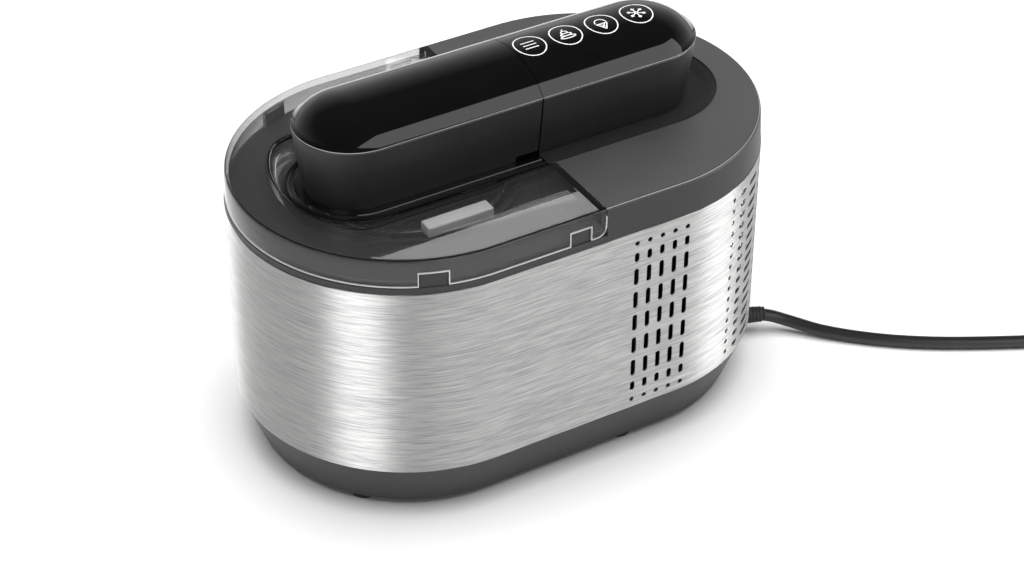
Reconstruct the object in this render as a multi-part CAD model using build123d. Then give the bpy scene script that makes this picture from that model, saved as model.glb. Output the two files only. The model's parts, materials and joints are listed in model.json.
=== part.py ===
from build123d import *
import os
from math import asin, cos, pi, radians, sin, tan

# Countertop ice cream maker with a built-in compressor.
# Millimetres. +X runs along the body towards the vented compressor end, -Y is the front, +Z is up.
# The origin is on the floor under the middle of the racetrack-shaped body.

# ---- driving dimensions -------------------------------------------------------------------------
HALF_WIDTH = 100.0        # steel body, half of its width and radius of its round ends
HALF_SPAN = 58.0          # from the middle of the body to the centre of each round end
BOWL_X = -HALF_SPAN       # the bowl is centred on the left round end
SEAM_X = 10.0             # plane where the lift-off lid meets the fixed deck
SEAM_GAP = 0.4            # open gap between lid and deck at that plane

TRAY_FLOOR_Z = 3.0        # underside of the base tray, held up by the feet
TRAY_FOOT_R = 89.5
TRAY_TOP_R = 99.7
STEEL_Z = (32.5, 152.0)
STEEL_T = 0.8
RING_TOP_Z = 156.0        # dark ring that the lid's skirt stands over
LEDGE_TOP_Z = 159.0       # inner deck round the bowl, under the lid
DECK_TOP_Z = 173.0
DECK_TOP_R = 98.7
WALL = 2.5                # moulded wall thickness
FIT = 0.3                 # clearance between separate mouldings

HEAD_X = 1.0              # middle of the head bar
HEAD_SPAN = 90.5          # half distance between the head's round ends
HEAD_RIM_R = 33.0
HEAD_FOOT_R = 28.0
HEAD_RIM_Z = 206.5
HEAD_CROWN_Z = 220.0
DECK_MOAT_Z = 168.0       # floor of the channel round the head, on the deck
LID_MOAT_Z = 167.0        # and on the lid
MOAT_R = 45.5
MOAT_FLOOR_R = 38.5

WELL_R = 60.2             # inside of the freezing well
WELL_FLOOR_Z = 46.6
WELL_TOP_Z = 158.2
BOWL_R = 59.8             # outside of the lift-out bowl
BOWL_WALL = 1.4
BOWL_FLOOR_Z = 47.0
BOWL_TOP_Z = 160.0
BAIL_Z = 162.0            # pivot height of the bowl's folding handle
BAIL_R = 55.6
SHAFT_R = 4.0
DRIVE_SQUARE = 6.4        # square end of the drive shaft
GEAR_Z = 174.0
GEAR_MODULE = 1.0
GEAR_TEETH = 44
PINION_TEETH = 14

FAN_CENTRE = (60.0, -55.5, 92.0)
COMPRESSOR_XY = (88.0, 30.0)
COMPRESSOR_R = 40.0

CORD_R = 3.7
GLAND_TURN = -22.0        # direction of the cord's exit about the right round end, degrees
GLAND_Z = 11.0
GLAND_TIP = 113.0         # distance of the gland's tip from that end's centre
COIL_CENTRE = (362.0, -126.0)
COIL_R = 44.0             # middle of the coil's turns


# ---- shared shapes ------------------------------------------------------------------------------
def outline(points, rounds=()):
    """Flat face through corner points; rounds pairs a corner with the radius that rounds it."""
    face = make_face(Polyline(*points, close=True))
    for corner, radius in rounds:
        nearest = face.vertices().sort_by_distance((corner[0], corner[1], 0))[0]
        face = fillet(nearest, radius)
    return face


def racetrack(face, span=HALF_SPAN, middle=0.0):
    """Carry an outline of (distance from the spine, height) right round a racetrack plan."""
    start = Plane(origin=(middle + span, 0, 0), x_dir=(0, -1, 0), z_dir=(-1, 0, 0))
    section = start * face
    front = extrude(section, 2 * span)
    end = revolve(section, Axis((middle + span, 0, 0), (0, 0, 1)), 180)
    half = front + end
    return half + half.rotate(Axis((middle, 0, 0), (0, 0, 1)), 180)


def turned(face, x=BOWL_X, y=0.0):
    """Revolve an outline of (radius, height) about an upright axis."""
    return Pos(x, y, 0) * revolve(Plane.XZ * face, Axis.Z, 360)


def post(x, y, radius, bottom, top):
    """Upright cylinder between two heights."""
    return Pos(x, y, (bottom + top) / 2) * Cylinder(radius, top - bottom)


def block(low, high):
    """Box between two opposite corners."""
    size = [b - a for a, b in zip(low, high)]
    middle = [(a + b) / 2 for a, b in zip(low, high)]
    return Pos(*middle) * Box(*size)


def left_of_seam(gap=SEAM_GAP / 2):
    """Space on the lid's side of the seam plane."""
    return block((-400, -200, -10), (SEAM_X - gap, 200, 400))


def right_of_seam(gap=SEAM_GAP / 2):
    """Space on the deck's side of the seam plane."""
    return block((SEAM_X + gap, -200, -10), (400, 200, 400))


def group(solids):
    """Several separate solids kept together as one node."""
    flat = []
    for item in solids:
        flat.extend(item.solids())
    return Compound(children=flat)


def pipe(points, radius, bends):
    """Round tube of solid section along straight runs joined by tangent arcs."""
    path = FilletPolyline(*points, radius=bends)
    section = Plane(origin=path @ 0, z_dir=path % 0) * Circle(radius)
    return sweep(section, path=path)


def side_of_end(turn, distance, height):
    """Point beside the right round end: direction in degrees, distance from its centre."""
    angle = radians(turn)
    return (HALF_SPAN + distance * cos(angle), distance * sin(angle), height)


# ---- base ---------------------------------------------------------------------------------------
FOOT_PLACES = [(-117, -53), (-117, 53), (34, -79), (34, 79), (108, -62), (108, 62)]
FOOT_R = 8.0
MOUNT_OFFSET = 33.0       # compressor mounts, from the compressor's axis
MOUNT_TURNS = (30, 150, 270)


def mount_places():
    """The compressor stands on three mounts round its axis."""
    x, y = COMPRESSOR_XY
    return [
        (x + MOUNT_OFFSET * cos(radians(t)), y + MOUNT_OFFSET * sin(radians(t)))
        for t in MOUNT_TURNS
    ]


def base_tray():
    floor_top = TRAY_FLOOR_Z + WALL
    top = STEEL_Z[0]
    lip = HALF_WIDTH - STEEL_T - FIT
    section = outline(
        [
            (0, TRAY_FLOOR_Z),
            (TRAY_FOOT_R, TRAY_FLOOR_Z),
            (TRAY_TOP_R, top),
            (lip, top),
            (lip, top + 6),
            (lip - 2.2, top + 6),
            (lip - 2.2, top - 2),
            (TRAY_FOOT_R - WALL, floor_top),
            (0, floor_top),
        ],
        [((TRAY_FOOT_R, TRAY_FLOOR_Z), 3.0)],
    )
    tray = racetrack(section)
    tray += turned(outline([(78, floor_top), (81, floor_top), (81, 36), (78, 36)]))
    for x, y in mount_places():
        tray += post(x, y, 7, floor_top, 12)
        tray -= post(x, y, 2.1, floor_top - 1, 13)
    for x, y in FOOT_PLACES:
        tray += post(x, y, 6, floor_top, 12)
        tray -= post(x, y, 1.9, 0, 11)
    tray -= gland_bore()
    return tray


def rubber_feet():
    return group(
        [
            post(x, y, FOOT_R, 0, TRAY_FLOOR_Z) - post(x, y, 4.2, -1, 1.6) - post(x, y, 2.1, -1, 5)
            for x, y in FOOT_PLACES
        ]
    )


def foot_screws():
    return group(
        [post(x, y, 3.8, 0.5, 1.6) + post(x, y, 1.75, 1.6, 10.5) for x, y in FOOT_PLACES]
    )


# ---- steel wrap and its vents -------------------------------------------------------------------
FRONT_VENT_X = 45.7       # middle column of the vents in the straight sides
FRONT_VENT_PITCH = 8.15
VENT_MIDDLE_Z = 91.35
SLOT_W = 3.0
LONG_SLOT = 11.0
SHORT_SLOT = 6.2
LONG_PITCH = 15.55
SHORT_FROM_MIDDLE = 44.05
DOT_FROM_MIDDLE = 53.3
END_ROWS = 15
END_ROW_PITCH = 7.48
END_COLUMN_TURN = 11.32   # degrees between the long slots of a row
END_SHORT_TURN = 59.6
END_DOT_TURN = 65.9
END_LONG_SLOT = 12.8


def slot_cutter(length, width, depth=6.0):
    """Round-ended slot, along X, cut through along Y."""
    shape = Circle(width / 2) if length <= width else SlotOverall(length, width)
    return extrude(Plane.XZ * shape, depth / 2, both=True)


def side_vent_cutters(side):
    """Five columns of upright slots in one straight side; side is -1 for the front."""
    cutters = []
    rows = [(LONG_PITCH * k, LONG_SLOT) for k in range(-2, 3)]
    for end in (-1, 1):
        rows.append((end * SHORT_FROM_MIDDLE, SHORT_SLOT))
        rows.append((end * DOT_FROM_MIDDLE, SLOT_W))
    for column in range(-2, 3):
        x = FRONT_VENT_X + column * FRONT_VENT_PITCH
        for offset, length in rows:
            upright = slot_cutter(length, SLOT_W).rotate(Axis.Y, 90)
            cutters.append(Pos(x, side * HALF_WIDTH, VENT_MIDDLE_Z + offset) * upright)
    return cutters


def end_vent_cutters():
    """Rows of level slots round the right end: a dot, a short slot, then long slots."""
    turns = [((k - 4.5) * END_COLUMN_TURN, END_LONG_SLOT) for k in range(10)]
    for side in (-1, 1):
        turns.append((side * END_SHORT_TURN, SHORT_SLOT))
        turns.append((side * END_DOT_TURN, SLOT_W))
    cutters = []
    for row in range(END_ROWS):
        z = VENT_MIDDLE_Z + (row - (END_ROWS - 1) / 2) * END_ROW_PITCH
        for turn, length in turns:
            level = Pos(0, HALF_WIDTH, z) * slot_cutter(length, SLOT_W)
            cutters.append(Pos(HALF_SPAN, 0, 0) * level.rotate(Axis.Z, turn - 90))
    return cutters


def steel_wrap():
    inner = HALF_WIDTH - STEEL_T
    low, high = STEEL_Z
    sheet = racetrack(outline([(inner, low), (HALF_WIDTH, low), (HALF_WIDTH, high), (inner, high)]))
    return sheet - (side_vent_cutters(-1) + side_vent_cutters(1) + end_vent_cutters())


# ---- deck ---------------------------------------------------------------------------------------
NOTCH_TURN = -110.3       # lid notch on the round end, about the bowl's axis
NOTCH_X = -6.3            # lid notch on the straight side
NOTCH_SIZE = (16.0, 12.6)  # widths of the two notches
NOTCH_TOP_Z = 165.0
COLLAR_R = (62.0, 64.4)    # raised collar round the freezing well
COLLAR_TOP_Z = 162.3
BOARD_POSTS = [(52, -24), (52, 24), (124, -24), (124, 24)]
BOARD_Z = 142.0
HEAD_SCREWS = [(34, -16), (34, 16), (98, -16), (98, 16)]


def notch_space(clear=0.0, mirrored=False):
    """Where the deck's locating lugs sit in the lid's skirt, on one long side."""
    side = 1 if mirrored else -1
    wide, narrow = (size - 2 * clear for size in NOTCH_SIZE)
    low, high = RING_TOP_Z - 1, NOTCH_TOP_Z - clear
    on_end = block((96 + clear, -wide / 2, low), (101, wide / 2, high))
    on_end = Pos(BOWL_X, 0, 0) * on_end.rotate(Axis.Z, NOTCH_TURN)
    straight = block(
        (NOTCH_X - narrow / 2, -101, low),
        (NOTCH_X + narrow / 2, -96 - clear, high),
    )
    space = on_end + straight
    return space if side < 0 else space.mirror(Plane.XZ)


def deck_lugs():
    """Locating lugs that stand in the notches of the lid's skirt."""
    lug_ring = racetrack(
        outline([(97.2, RING_TOP_Z - 1), (98.4, RING_TOP_Z - 1), (98.4, 166), (97.2, 166)])
    )
    spaces = notch_space(0.5) + notch_space(0.5, mirrored=True)
    return lug_ring & spaces


def deck():
    lip = HALF_WIDTH - STEEL_T - FIT
    ring = racetrack(
        outline(
            [
                (lip - 2.3, 146),
                (lip, 146),
                (lip, STEEL_Z[1]),
                (TRAY_TOP_R, STEEL_Z[1]),
                (TRAY_TOP_R, RING_TOP_Z),
                (lip - 2.3, RING_TOP_Z),
            ]
        )
    )
    cap = racetrack(
        outline(
            [
                (TRAY_TOP_R - WALL, STEEL_Z[1]),
                (TRAY_TOP_R, STEEL_Z[1]),
                (DECK_TOP_R, DECK_TOP_Z),
                (0, DECK_TOP_Z),
                (0, DECK_TOP_Z - WALL),
                (DECK_TOP_R - WALL, DECK_TOP_Z - WALL),
            ],
            [((DECK_TOP_R, DECK_TOP_Z), 2.0)],
        )
    )
    rim = DECK_TOP_Z + 1
    trough = racetrack(
        outline(
            [(0, DECK_MOAT_Z), (MOAT_FLOOR_R, DECK_MOAT_Z), (MOAT_R, rim), (0, rim)],
            [((MOAT_FLOOR_R, DECK_MOAT_Z), 4.0)],
        ),
        HEAD_SPAN,
        HEAD_X,
    )
    under, lip_z = DECK_MOAT_Z - WALL, DECK_TOP_Z - 0.5
    pan = racetrack(
        outline([(0, under), (MOAT_FLOOR_R + WALL, under), (MOAT_R + WALL, lip_z), (0, lip_z)]),
        HEAD_SPAN,
        HEAD_X,
    )
    fixed = (cap + pan - trough) & right_of_seam()
    bulkhead = block(
        (SEAM_X + SEAM_GAP / 2, -96.4, LEDGE_TOP_Z - WALL),
        (SEAM_X + 2.7, 96.4, DECK_TOP_Z - WALL),
    )
    bulkhead -= trough
    ledge_r, ledge_z = 96.4, LEDGE_TOP_Z - WALL
    ledge = racetrack(
        outline(
            [(0, ledge_z), (ledge_r, ledge_z), (ledge_r, LEDGE_TOP_Z), (0, LEDGE_TOP_Z)],
            [((ledge_r, LEDGE_TOP_Z), 1.0)],
        )
    )
    ledge += racetrack(outline([(94, 150), (96.6, 150), (96.6, 157), (94, 157)]))
    ledge &= block((-400, -200, 0), (SEAM_X + 2.7, 200, 400))
    inner, outer, foot = COLLAR_R[0], COLLAR_R[1], LEDGE_TOP_Z - 1
    collar = turned(
        outline(
            [(inner, foot), (outer, foot), (outer, COLLAR_TOP_Z), (inner, COLLAR_TOP_Z)],
            [((outer, COLLAR_TOP_Z), 0.8), ((inner, COLLAR_TOP_Z), 0.8)],
        )
    )
    body = ring + fixed + bulkhead + ledge + collar + deck_lugs()
    body -= post(BOWL_X, 0, inner, 140, 170)
    for x, y in BOARD_POSTS:
        body += post(x, y, 3, BOARD_Z + 1.6, DECK_MOAT_Z - WALL + 0.2)
    for x, y in HEAD_SCREWS:
        body -= post(x, y, 1.7, 160, 175)
    return body


# ---- cold parts round the bowl ------------------------------------------------------------------
def freezing_well():
    outer = WELL_R + 1.0
    return turned(
        outline(
            [
                (0, WELL_FLOOR_Z - 1.2),
                (outer, WELL_FLOOR_Z - 1.2),
                (outer, 154.9),
                (70, 154.9),
                (70, LEDGE_TOP_Z - WALL),
                (outer, LEDGE_TOP_Z - WALL),
                (outer, WELL_TOP_Z),
                (WELL_R, WELL_TOP_Z),
                (WELL_R, WELL_FLOOR_Z),
                (0, WELL_FLOOR_Z),
            ],
            [((outer, WELL_FLOOR_Z - 1.2), 2.0)],
        )
    )


COIL_TUBE_R = 4.0
EVAPORATOR_R = WELL_R + 1.0 + 0.6 + COIL_TUBE_R
HEADER_X = BOWL_X + EVAPORATOR_R + 2.5


def evaporator_coil():
    coil = post(HEADER_X, 0, COIL_TUBE_R, 50, 148)
    for level in range(9):
        coil += Pos(BOWL_X, 0, 56 + 10.5 * level) * Torus(EVAPORATOR_R, COIL_TUBE_R)
    return coil


def foam_jacket():
    cup = turned(outline([(0, 36), (90, 36), (90, 150), (70.3, 150), (70.3, 43.5), (0, 43.5)]))
    return cup - block((0, -8, 30), (60, 8, 170))


# ---- compressor side ----------------------------------------------------------------------------
STUBS = [(108.0, 30.0), (72.0, 22.0)]     # discharge and suction stubs on the compressor


def compressor():
    x, y = COMPRESSOR_XY
    r = COMPRESSOR_R
    flange = r + 1.6
    shell = turned(
        outline(
            [
                (0, 22),
                (18, 22),
                (18, 28),
                (r, 28),
                (r, 74),
                (flange, 74),
                (flange, 77),
                (r, 77),
                (r, 116),
                (0, 116),
            ],
            [((r, 28), 9.0), ((r, 116), 14.0)],
        ),
        x,
        y,
    )
    plate = Pos(x, y, 21) * Cylinder(30, 2)
    for mx, my in mount_places():
        plate += post(mx, my, 8, 20, 22)
    for mx, my in mount_places():
        plate -= post(mx, my, 4.6, 19, 23)
    body = shell + plate
    for sx, sy in STUBS:
        body += post(sx, sy, 4.6, 108, 120)
    return body


def compressor_mounts():
    return group(
        [
            post(x, y, 7, 12, 20) + post(x, y, 4.4, 20, 24) - post(x, y, 2.2, 11, 26)
            for x, y in mount_places()
        ]
    )


def compressor_studs():
    return group(
        [post(x, y, 1.9, 6, 26.5) + post(x, y, 4.0, 24.1, 26.6) for x, y in mount_places()]
    )


CONDENSER = ((24.0, -88.0, 42.0), (96.0, -66.0, 138.0))


def condenser():
    low, high = CONDENSER
    body = block(low, (low[0] + 2, high[1], high[2])) + block((high[0] - 2, low[1], low[2]), high)
    for k in range(12):
        z = low[2] + 6 + 7.6 * k
        body += Pos((low[0] + high[0]) / 2, -77, z) * Cylinder(2.6, 69, rotation=(0, 90, 0))
    for k in range(22):
        x = low[0] + 5.5 + 2.9 * k
        body += block((x, low[1] + 0.6, low[2] + 1), (x + 0.5, high[1] - 0.6, high[2] - 1))
    for x in (low[0], high[0] - 2):
        body += block((x, -76, TRAY_FLOOR_Z + WALL), (x + 2, -68, low[2] + 1))
    return body


def fan_frame():
    x, y, z = FAN_CENTRE
    frame = Pos(x, y, z) * Box(70, 20, 70)
    frame -= Pos(x, y, z) * Cylinder(32.5, 30, rotation=(90, 0, 0))
    hub = Pos(x, y + 8.5, z) * Cylinder(13, 3, rotation=(90, 0, 0))
    for k in range(3):
        arm = Pos(x, y + 8.5, z) * (Rot(0, 90 + 120 * k, 0) * Pos(23, 0, 0) * Box(24, 3, 4))
        hub += arm
    return frame + hub


def fan_motor():
    x, y, z = FAN_CENTRE
    stator = Pos(x, y + 3, z) * Cylinder(10, 8, rotation=(90, 0, 0))
    return stator + Pos(x, y - 3.5, z) * Cylinder(1.5, 9, rotation=(90, 0, 0))


def fan_rotor():
    x, y, z = FAN_CENTRE
    cup = Pos(x, y, z) * Cylinder(14, 14, rotation=(90, 0, 0))
    cup -= Pos(x, y + 2, z) * Cylinder(11, 14, rotation=(90, 0, 0))
    cup -= Pos(x, y, z) * Cylinder(1.56, 30, rotation=(90, 0, 0))
    for k in range(7):
        blade = Pos(22, 0, 0) * (Rot(35, 0, 0) * Box(18, 14, 1.6))
        cup += Pos(x, y, z) * (Rot(0, k * 360 / 7, 0) * blade)
    return cup


DRIER_XY = (40.0, -30.0)


def filter_drier():
    x, y = DRIER_XY
    return turned(
        outline([(0, 58), (3, 58), (3, 64), (7, 70), (7, 106), (3, 112), (3, 118), (0, 118)]), x, y
    )


def discharge_pipe():
    x, y = STUBS[0]
    return pipe([(x, y, 120), (x, y, 134), (x, -77, 134), (96, -77, 134)], 2.4, [6, 5])


def suction_pipe():
    x, y = STUBS[1]
    start = HEADER_X + COIL_TUBE_R
    return pipe([(start, 0, 60), (40, 0, 60), (40, 0, 132), (x, y, 132), (x, y, 120)], 3.0, [8, 8, 7])


def liquid_pipe():
    x, y = DRIER_XY
    return pipe([(x, y, 58), (x, y, 49), (x, -66, 49)], 1.6, [5])


def capillary_pipe():
    x, y = DRIER_XY
    end = HEADER_X + COIL_TUBE_R
    return pipe([(x, y, 118), (x, y, 142), (x, 0, 142), (end, 0, 142)], 1.2, [6, 6])


def power_board():
    board = block((46, -30, BOARD_Z), (130, 30, BOARD_Z + 1.6))
    board -= [post(x, y, 1.6, BOARD_Z - 1, BOARD_Z + 3) for x, y in BOARD_POSTS]
    return board


def board_parts():
    top = BOARD_Z + 1.6
    return group(
        [
            block((62, -24, top), (88, 0, top + 17)),
            block((94, -26, top), (112, -12, top + 14)),
            post(70, 14, 6, top, top + 18),
            post(86, 14, 5, top, top + 15),
            block((98, 4, top), (116, 20, top + 9)),
        ]
    )


def board_screws():
    return group(
        [post(x, y, 2.8, BOARD_Z - 2, BOARD_Z) + post(x, y, 1.4, BOARD_Z, BOARD_Z + 1.5)
         for x, y in BOARD_POSTS]
    )


# ---- head: shared by the fixed control housing and the lid's motor housing ----------------------
def head_radius(height):
    """Outside half width of the head's drafted walls at a height."""
    share = (height - DECK_MOAT_Z) / (HEAD_RIM_Z - DECK_MOAT_Z)
    return HEAD_FOOT_R + share * (HEAD_RIM_R - HEAD_FOOT_R)


def head_shell(foot):
    """Open-topped drafted shell of the whole head, standing on a given height."""
    top = HEAD_RIM_Z
    return racetrack(
        outline(
            [
                (0, foot),
                (head_radius(foot), foot),
                (HEAD_RIM_R, top - 0.6),
                (HEAD_RIM_R - 0.6, top),
                (HEAD_RIM_R - WALL, top),
                (head_radius(foot) - WALL, foot + WALL),
                (0, foot + WALL),
            ]
        ),
        HEAD_SPAN,
        HEAD_X,
    )


def crown_outline(inset):
    """Half of the cover's arched section: a shoulder arc running into a flatter crown arc."""
    crown_r, shoulder_y = 60.0, 18.0
    crown = HEAD_CROWN_Z - inset
    rim = HEAD_RIM_R - 0.6 - inset
    join_z = crown - (crown_r - (crown_r**2 - shoulder_y**2) ** 0.5)
    slope = asin(shoulder_y / crown_r)
    top_arc = ThreePointArc(
        (0, crown),
        (crown_r * sin(slope / 2), crown - crown_r * (1 - cos(slope / 2))),
        (shoulder_y, join_z),
    )
    shoulder = TangentArc((shoulder_y, join_z), (rim, HEAD_RIM_Z), tangent=(cos(slope), -sin(slope)))
    foot = Line((rim, HEAD_RIM_Z), (0, HEAD_RIM_Z))
    spine = Line((0, HEAD_RIM_Z), (0, crown))
    return make_face(top_arc + shoulder + foot + spine)


def head_cover():
    """Arched gloss cover of the whole head, 2 mm thick."""
    outside = racetrack(crown_outline(0), HEAD_SPAN, HEAD_X)
    inside = racetrack(crown_outline(2.0), HEAD_SPAN, HEAD_X)
    return outside - inside


def seam_plate(side, foot):
    """End wall of a head half at the seam; side is -1 for the lid's half."""
    near = SEAM_X + side * SEAM_GAP / 2
    far = near + side * 2.2
    low = block((min(near, far), -40, foot), (max(near, far), 40, HEAD_CROWN_Z))
    full = racetrack(
        outline([(0, foot), (head_radius(foot), foot), (HEAD_RIM_R - 0.6, HEAD_RIM_Z), (0, HEAD_RIM_Z)]),
        HEAD_SPAN,
        HEAD_X,
    )
    return low & full


CONTACT_YS = (-9, 0, 9)
CONTACT_Z = 190.0


def control_housing():
    shell = (head_shell(DECK_MOAT_Z) & right_of_seam()) + seam_plate(1, DECK_MOAT_Z)
    for x, y in HEAD_SCREWS:
        shell += post(x, y, 3.6, DECK_MOAT_Z + WALL - 0.2, 182)
        shell -= post(x, y, 1.45, 160, 178)
    for y in CONTACT_YS:
        shell -= Pos(SEAM_X + 1.3, y, CONTACT_Z) * Cylinder(2.2, 6, rotation=(0, 90, 0))
    return shell


def touch_cover():
    return head_cover() & right_of_seam()


def head_screws():
    floor = DECK_MOAT_Z - WALL
    return group(
        [post(x, y, 3.0, floor - 2.2, floor) + post(x, y, 1.4, floor, 177) for x, y in HEAD_SCREWS]
    )


KEY_XS = (22.5, 45.0, 67.5, 90.0)


def touch_board():
    board = block((15, -18, 203), (112, 18, 204.6))
    posts = [post(x, y, 2.4, 182, 203) for x, y in ((34, -16), (34, 16), (98, -16), (98, 16))]
    return board + posts


def touch_springs():
    return group([post(x, 0, 5.5, 204.6, 216.8) - post(x, 0, 4.3, 204, 217) for x in KEY_XS])


def contact_pads():
    return group(
        [Pos(SEAM_X + 1.6, y, CONTACT_Z) * Cylinder(2.1, 2.4, rotation=(0, 90, 0)) for y in CONTACT_YS]
    )


# ---- lid ----------------------------------------------------------------------------------------
LID_MOAT_WALL_R = 73.0    # round end of the lid's channel, about the bowl's axis
LID_MOAT_HALF = 50.0
LID_MOAT_END_X = -25.0


def lid_channel(grow, floor, top):
    """Space of the channel round the motor housing, grown outwards by a distance."""
    reach = LID_MOAT_WALL_R + grow
    half = LID_MOAT_HALF + grow
    round_end = post(BOWL_X, 0, reach, floor, top) & block(
        (-400, -half, floor), (LID_MOAT_END_X + grow, half, top)
    )
    corners = round_end.edges().filter_by(Axis.Z)
    round_end = fillet(corners, 9.0)
    straight = block((-60, -MOAT_R - grow, floor), (SEAM_X + 1, MOAT_R + grow, top))
    return round_end + straight


def lid_window():
    plate = racetrack(
        outline(
            [
                (0, DECK_TOP_Z - 3),
                (DECK_TOP_R - 1.8, DECK_TOP_Z - 3),
                (DECK_TOP_R - 1.6, RING_TOP_Z + 0.6),
                (DECK_TOP_R + 0.6, RING_TOP_Z + 0.6),
                (DECK_TOP_R, DECK_TOP_Z),
                (0, DECK_TOP_Z),
            ],
            [((DECK_TOP_R, DECK_TOP_Z), 2.0)],
        )
    )
    pan = lid_channel(2.4, LID_MOAT_Z - 2.4, DECK_TOP_Z - 0.5)
    hollow = lid_channel(0, LID_MOAT_Z, DECK_TOP_Z + 5)
    lid = (plate + pan - hollow) & left_of_seam()
    lid -= notch_space() + notch_space(mirrored=True)
    lid -= post(BOWL_X, 0, 10.2, 150, 175)
    return lid


def motor_housing():
    shell = (head_shell(LID_MOAT_Z) & left_of_seam()) + seam_plate(-1, LID_MOAT_Z)
    shell -= post(BOWL_X, 0, 10.2, 160, 175)
    for y in CONTACT_YS:
        shell -= Pos(SEAM_X - 1.3, y, CONTACT_Z) * Cylinder(1.7, 6, rotation=(0, 90, 0))
    for x, y in MOTOR_SCREWS:
        shell += post(x, y, 3.2, LID_MOAT_Z + WALL - 0.2, BRACKET_Z)
        shell -= post(x, y, 1.45, LID_MOAT_Z + WALL + 1, BRACKET_Z + 1)
    return shell


def motor_cover():
    return head_cover() & left_of_seam()


def contact_pins():
    return group(
        [
            Pos(SEAM_X - SEAM_GAP / 2 - 2.6, y, CONTACT_Z) * Cylinder(1.6, 5, rotation=(0, 90, 0))
            for y in CONTACT_YS
        ]
    )


BRACKET_Z = 184.0
MOTOR_X = BOWL_X + GEAR_MODULE * (GEAR_TEETH + PINION_TEETH) / 2
MOTOR_SCREWS = [(-92, 0), (-8, -18), (-8, 18)]


def motor_bracket():
    plate = block((-98, -23, BRACKET_Z), (-2, 23, BRACKET_Z + 2))
    plate -= post(BOWL_X, 0, 6.2, BRACKET_Z - 1, BRACKET_Z + 3)
    plate -= post(MOTOR_X, 0, 5.2, BRACKET_Z - 1, BRACKET_Z + 3)
    for x, y in MOTOR_SCREWS:
        plate -= post(x, y, 1.7, BRACKET_Z - 1, BRACKET_Z + 3)
    return plate


def bracket_screws():
    top = BRACKET_Z + 2
    return group(
        [post(x, y, 2.9, top, top + 2) + post(x, y, 1.4, top - 10, top) for x, y in MOTOR_SCREWS]
    )


def gear_motor():
    top = BRACKET_Z + 2
    return post(MOTOR_X, 0, 17, top, top + 9) + post(MOTOR_X, 0, 14, top + 9, top + 26)


def shaft_bushes():
    """Flanged bearing bushes of the drive shaft: in the lid's floor and in the bracket."""
    low = post(BOWL_X, 0, 10, 162, LID_MOAT_Z + WALL) + post(
        BOWL_X, 0, 12, LID_MOAT_Z + WALL, LID_MOAT_Z + WALL + 1.6
    )
    top = BRACKET_Z + 2
    high = post(BOWL_X, 0, 6, BRACKET_Z, top) + post(BOWL_X, 0, 8, top, top + 2)
    bore = post(BOWL_X, 0, SHAFT_R + 0.05, 150, 200)
    return group([low - bore, high - bore])


def toothed_wheel(x, teeth, height, thickness, bore, phase=0.0):
    """Spur gear with plain straight-sided teeth, slightly thinned for backlash."""
    pitch_r = GEAR_MODULE * teeth / 2
    root_r, tip_r = pitch_r - 1.25 * GEAR_MODULE, pitch_r + 0.8 * GEAR_MODULE
    half_root, half_tip = 0.78 * GEAR_MODULE, 0.30 * GEAR_MODULE
    wheel = Circle(root_r)
    tooth = make_face(
        Polyline((root_r - 0.4, -half_root), (tip_r, -half_tip), (tip_r, half_tip),
                 (root_r - 0.4, half_root), close=True)
    )
    wheel += [tooth.rotate(Axis.Z, phase + k * 360 / teeth) for k in range(teeth)]
    wheel -= Circle(bore)
    return Pos(x, 0, height) * extrude(wheel, thickness)


def output_gear():
    wheel = toothed_wheel(BOWL_X, GEAR_TEETH, GEAR_Z, 6, SHAFT_R)
    return wheel + (post(BOWL_X, 0, 7.5, GEAR_Z + 5, GEAR_Z + 9.4) - post(BOWL_X, 0, SHAFT_R, 170, 190))


def output_shaft():
    shaft = post(BOWL_X, 0, SHAFT_R, 160, BRACKET_Z + 7)
    return shaft + Pos(BOWL_X, 0, 154) * Box(DRIVE_SQUARE, DRIVE_SQUARE, 13)


def motor_pinion():
    half_tooth = 180 / PINION_TEETH
    wheel = toothed_wheel(MOTOR_X, PINION_TEETH, GEAR_Z - 0.5, 7, 2.0, 180 + half_tooth)
    return wheel + post(MOTOR_X, 0, 2.0, GEAR_Z - 0.5, BRACKET_Z + 1.8)


# ---- lift-out bowl, its handle and the paddle ---------------------------------------------------
LUG_OUT = 61.2


def bowl():
    r = BOWL_R
    cup = turned(
        outline(
            [
                (0, BOWL_FLOOR_Z),
                (r, BOWL_FLOOR_Z),
                (r, BOWL_TOP_Z - 1.4),
                (LUG_OUT, BOWL_TOP_Z - 1.4),
                (LUG_OUT, BOWL_TOP_Z),
                (r - BOWL_WALL, BOWL_TOP_Z),
                (r - BOWL_WALL, BOWL_FLOOR_Z + BOWL_WALL),
                (0, BOWL_FLOOR_Z + BOWL_WALL),
            ],
            [((r, BOWL_FLOOR_Z), 5.0), ((r - BOWL_WALL, BOWL_FLOOR_Z + BOWL_WALL), 4.0)],
        )
    )
    cup += post(BOWL_X, 0, 3.0, BOWL_FLOOR_Z + 1, 62)
    for side in (-1, 1):
        near, far = BOWL_X + side * 57.9, BOWL_X + side * LUG_OUT
        cup += block((min(near, far), -4, BOWL_TOP_Z - 1), (max(near, far), 4, BAIL_Z + 2.1))
        pivot = Pos(BOWL_X + side * 59, 0, BAIL_Z) * Cylinder(1.58, 8, rotation=(0, 90, 0))
        cup -= pivot
    return cup


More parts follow.
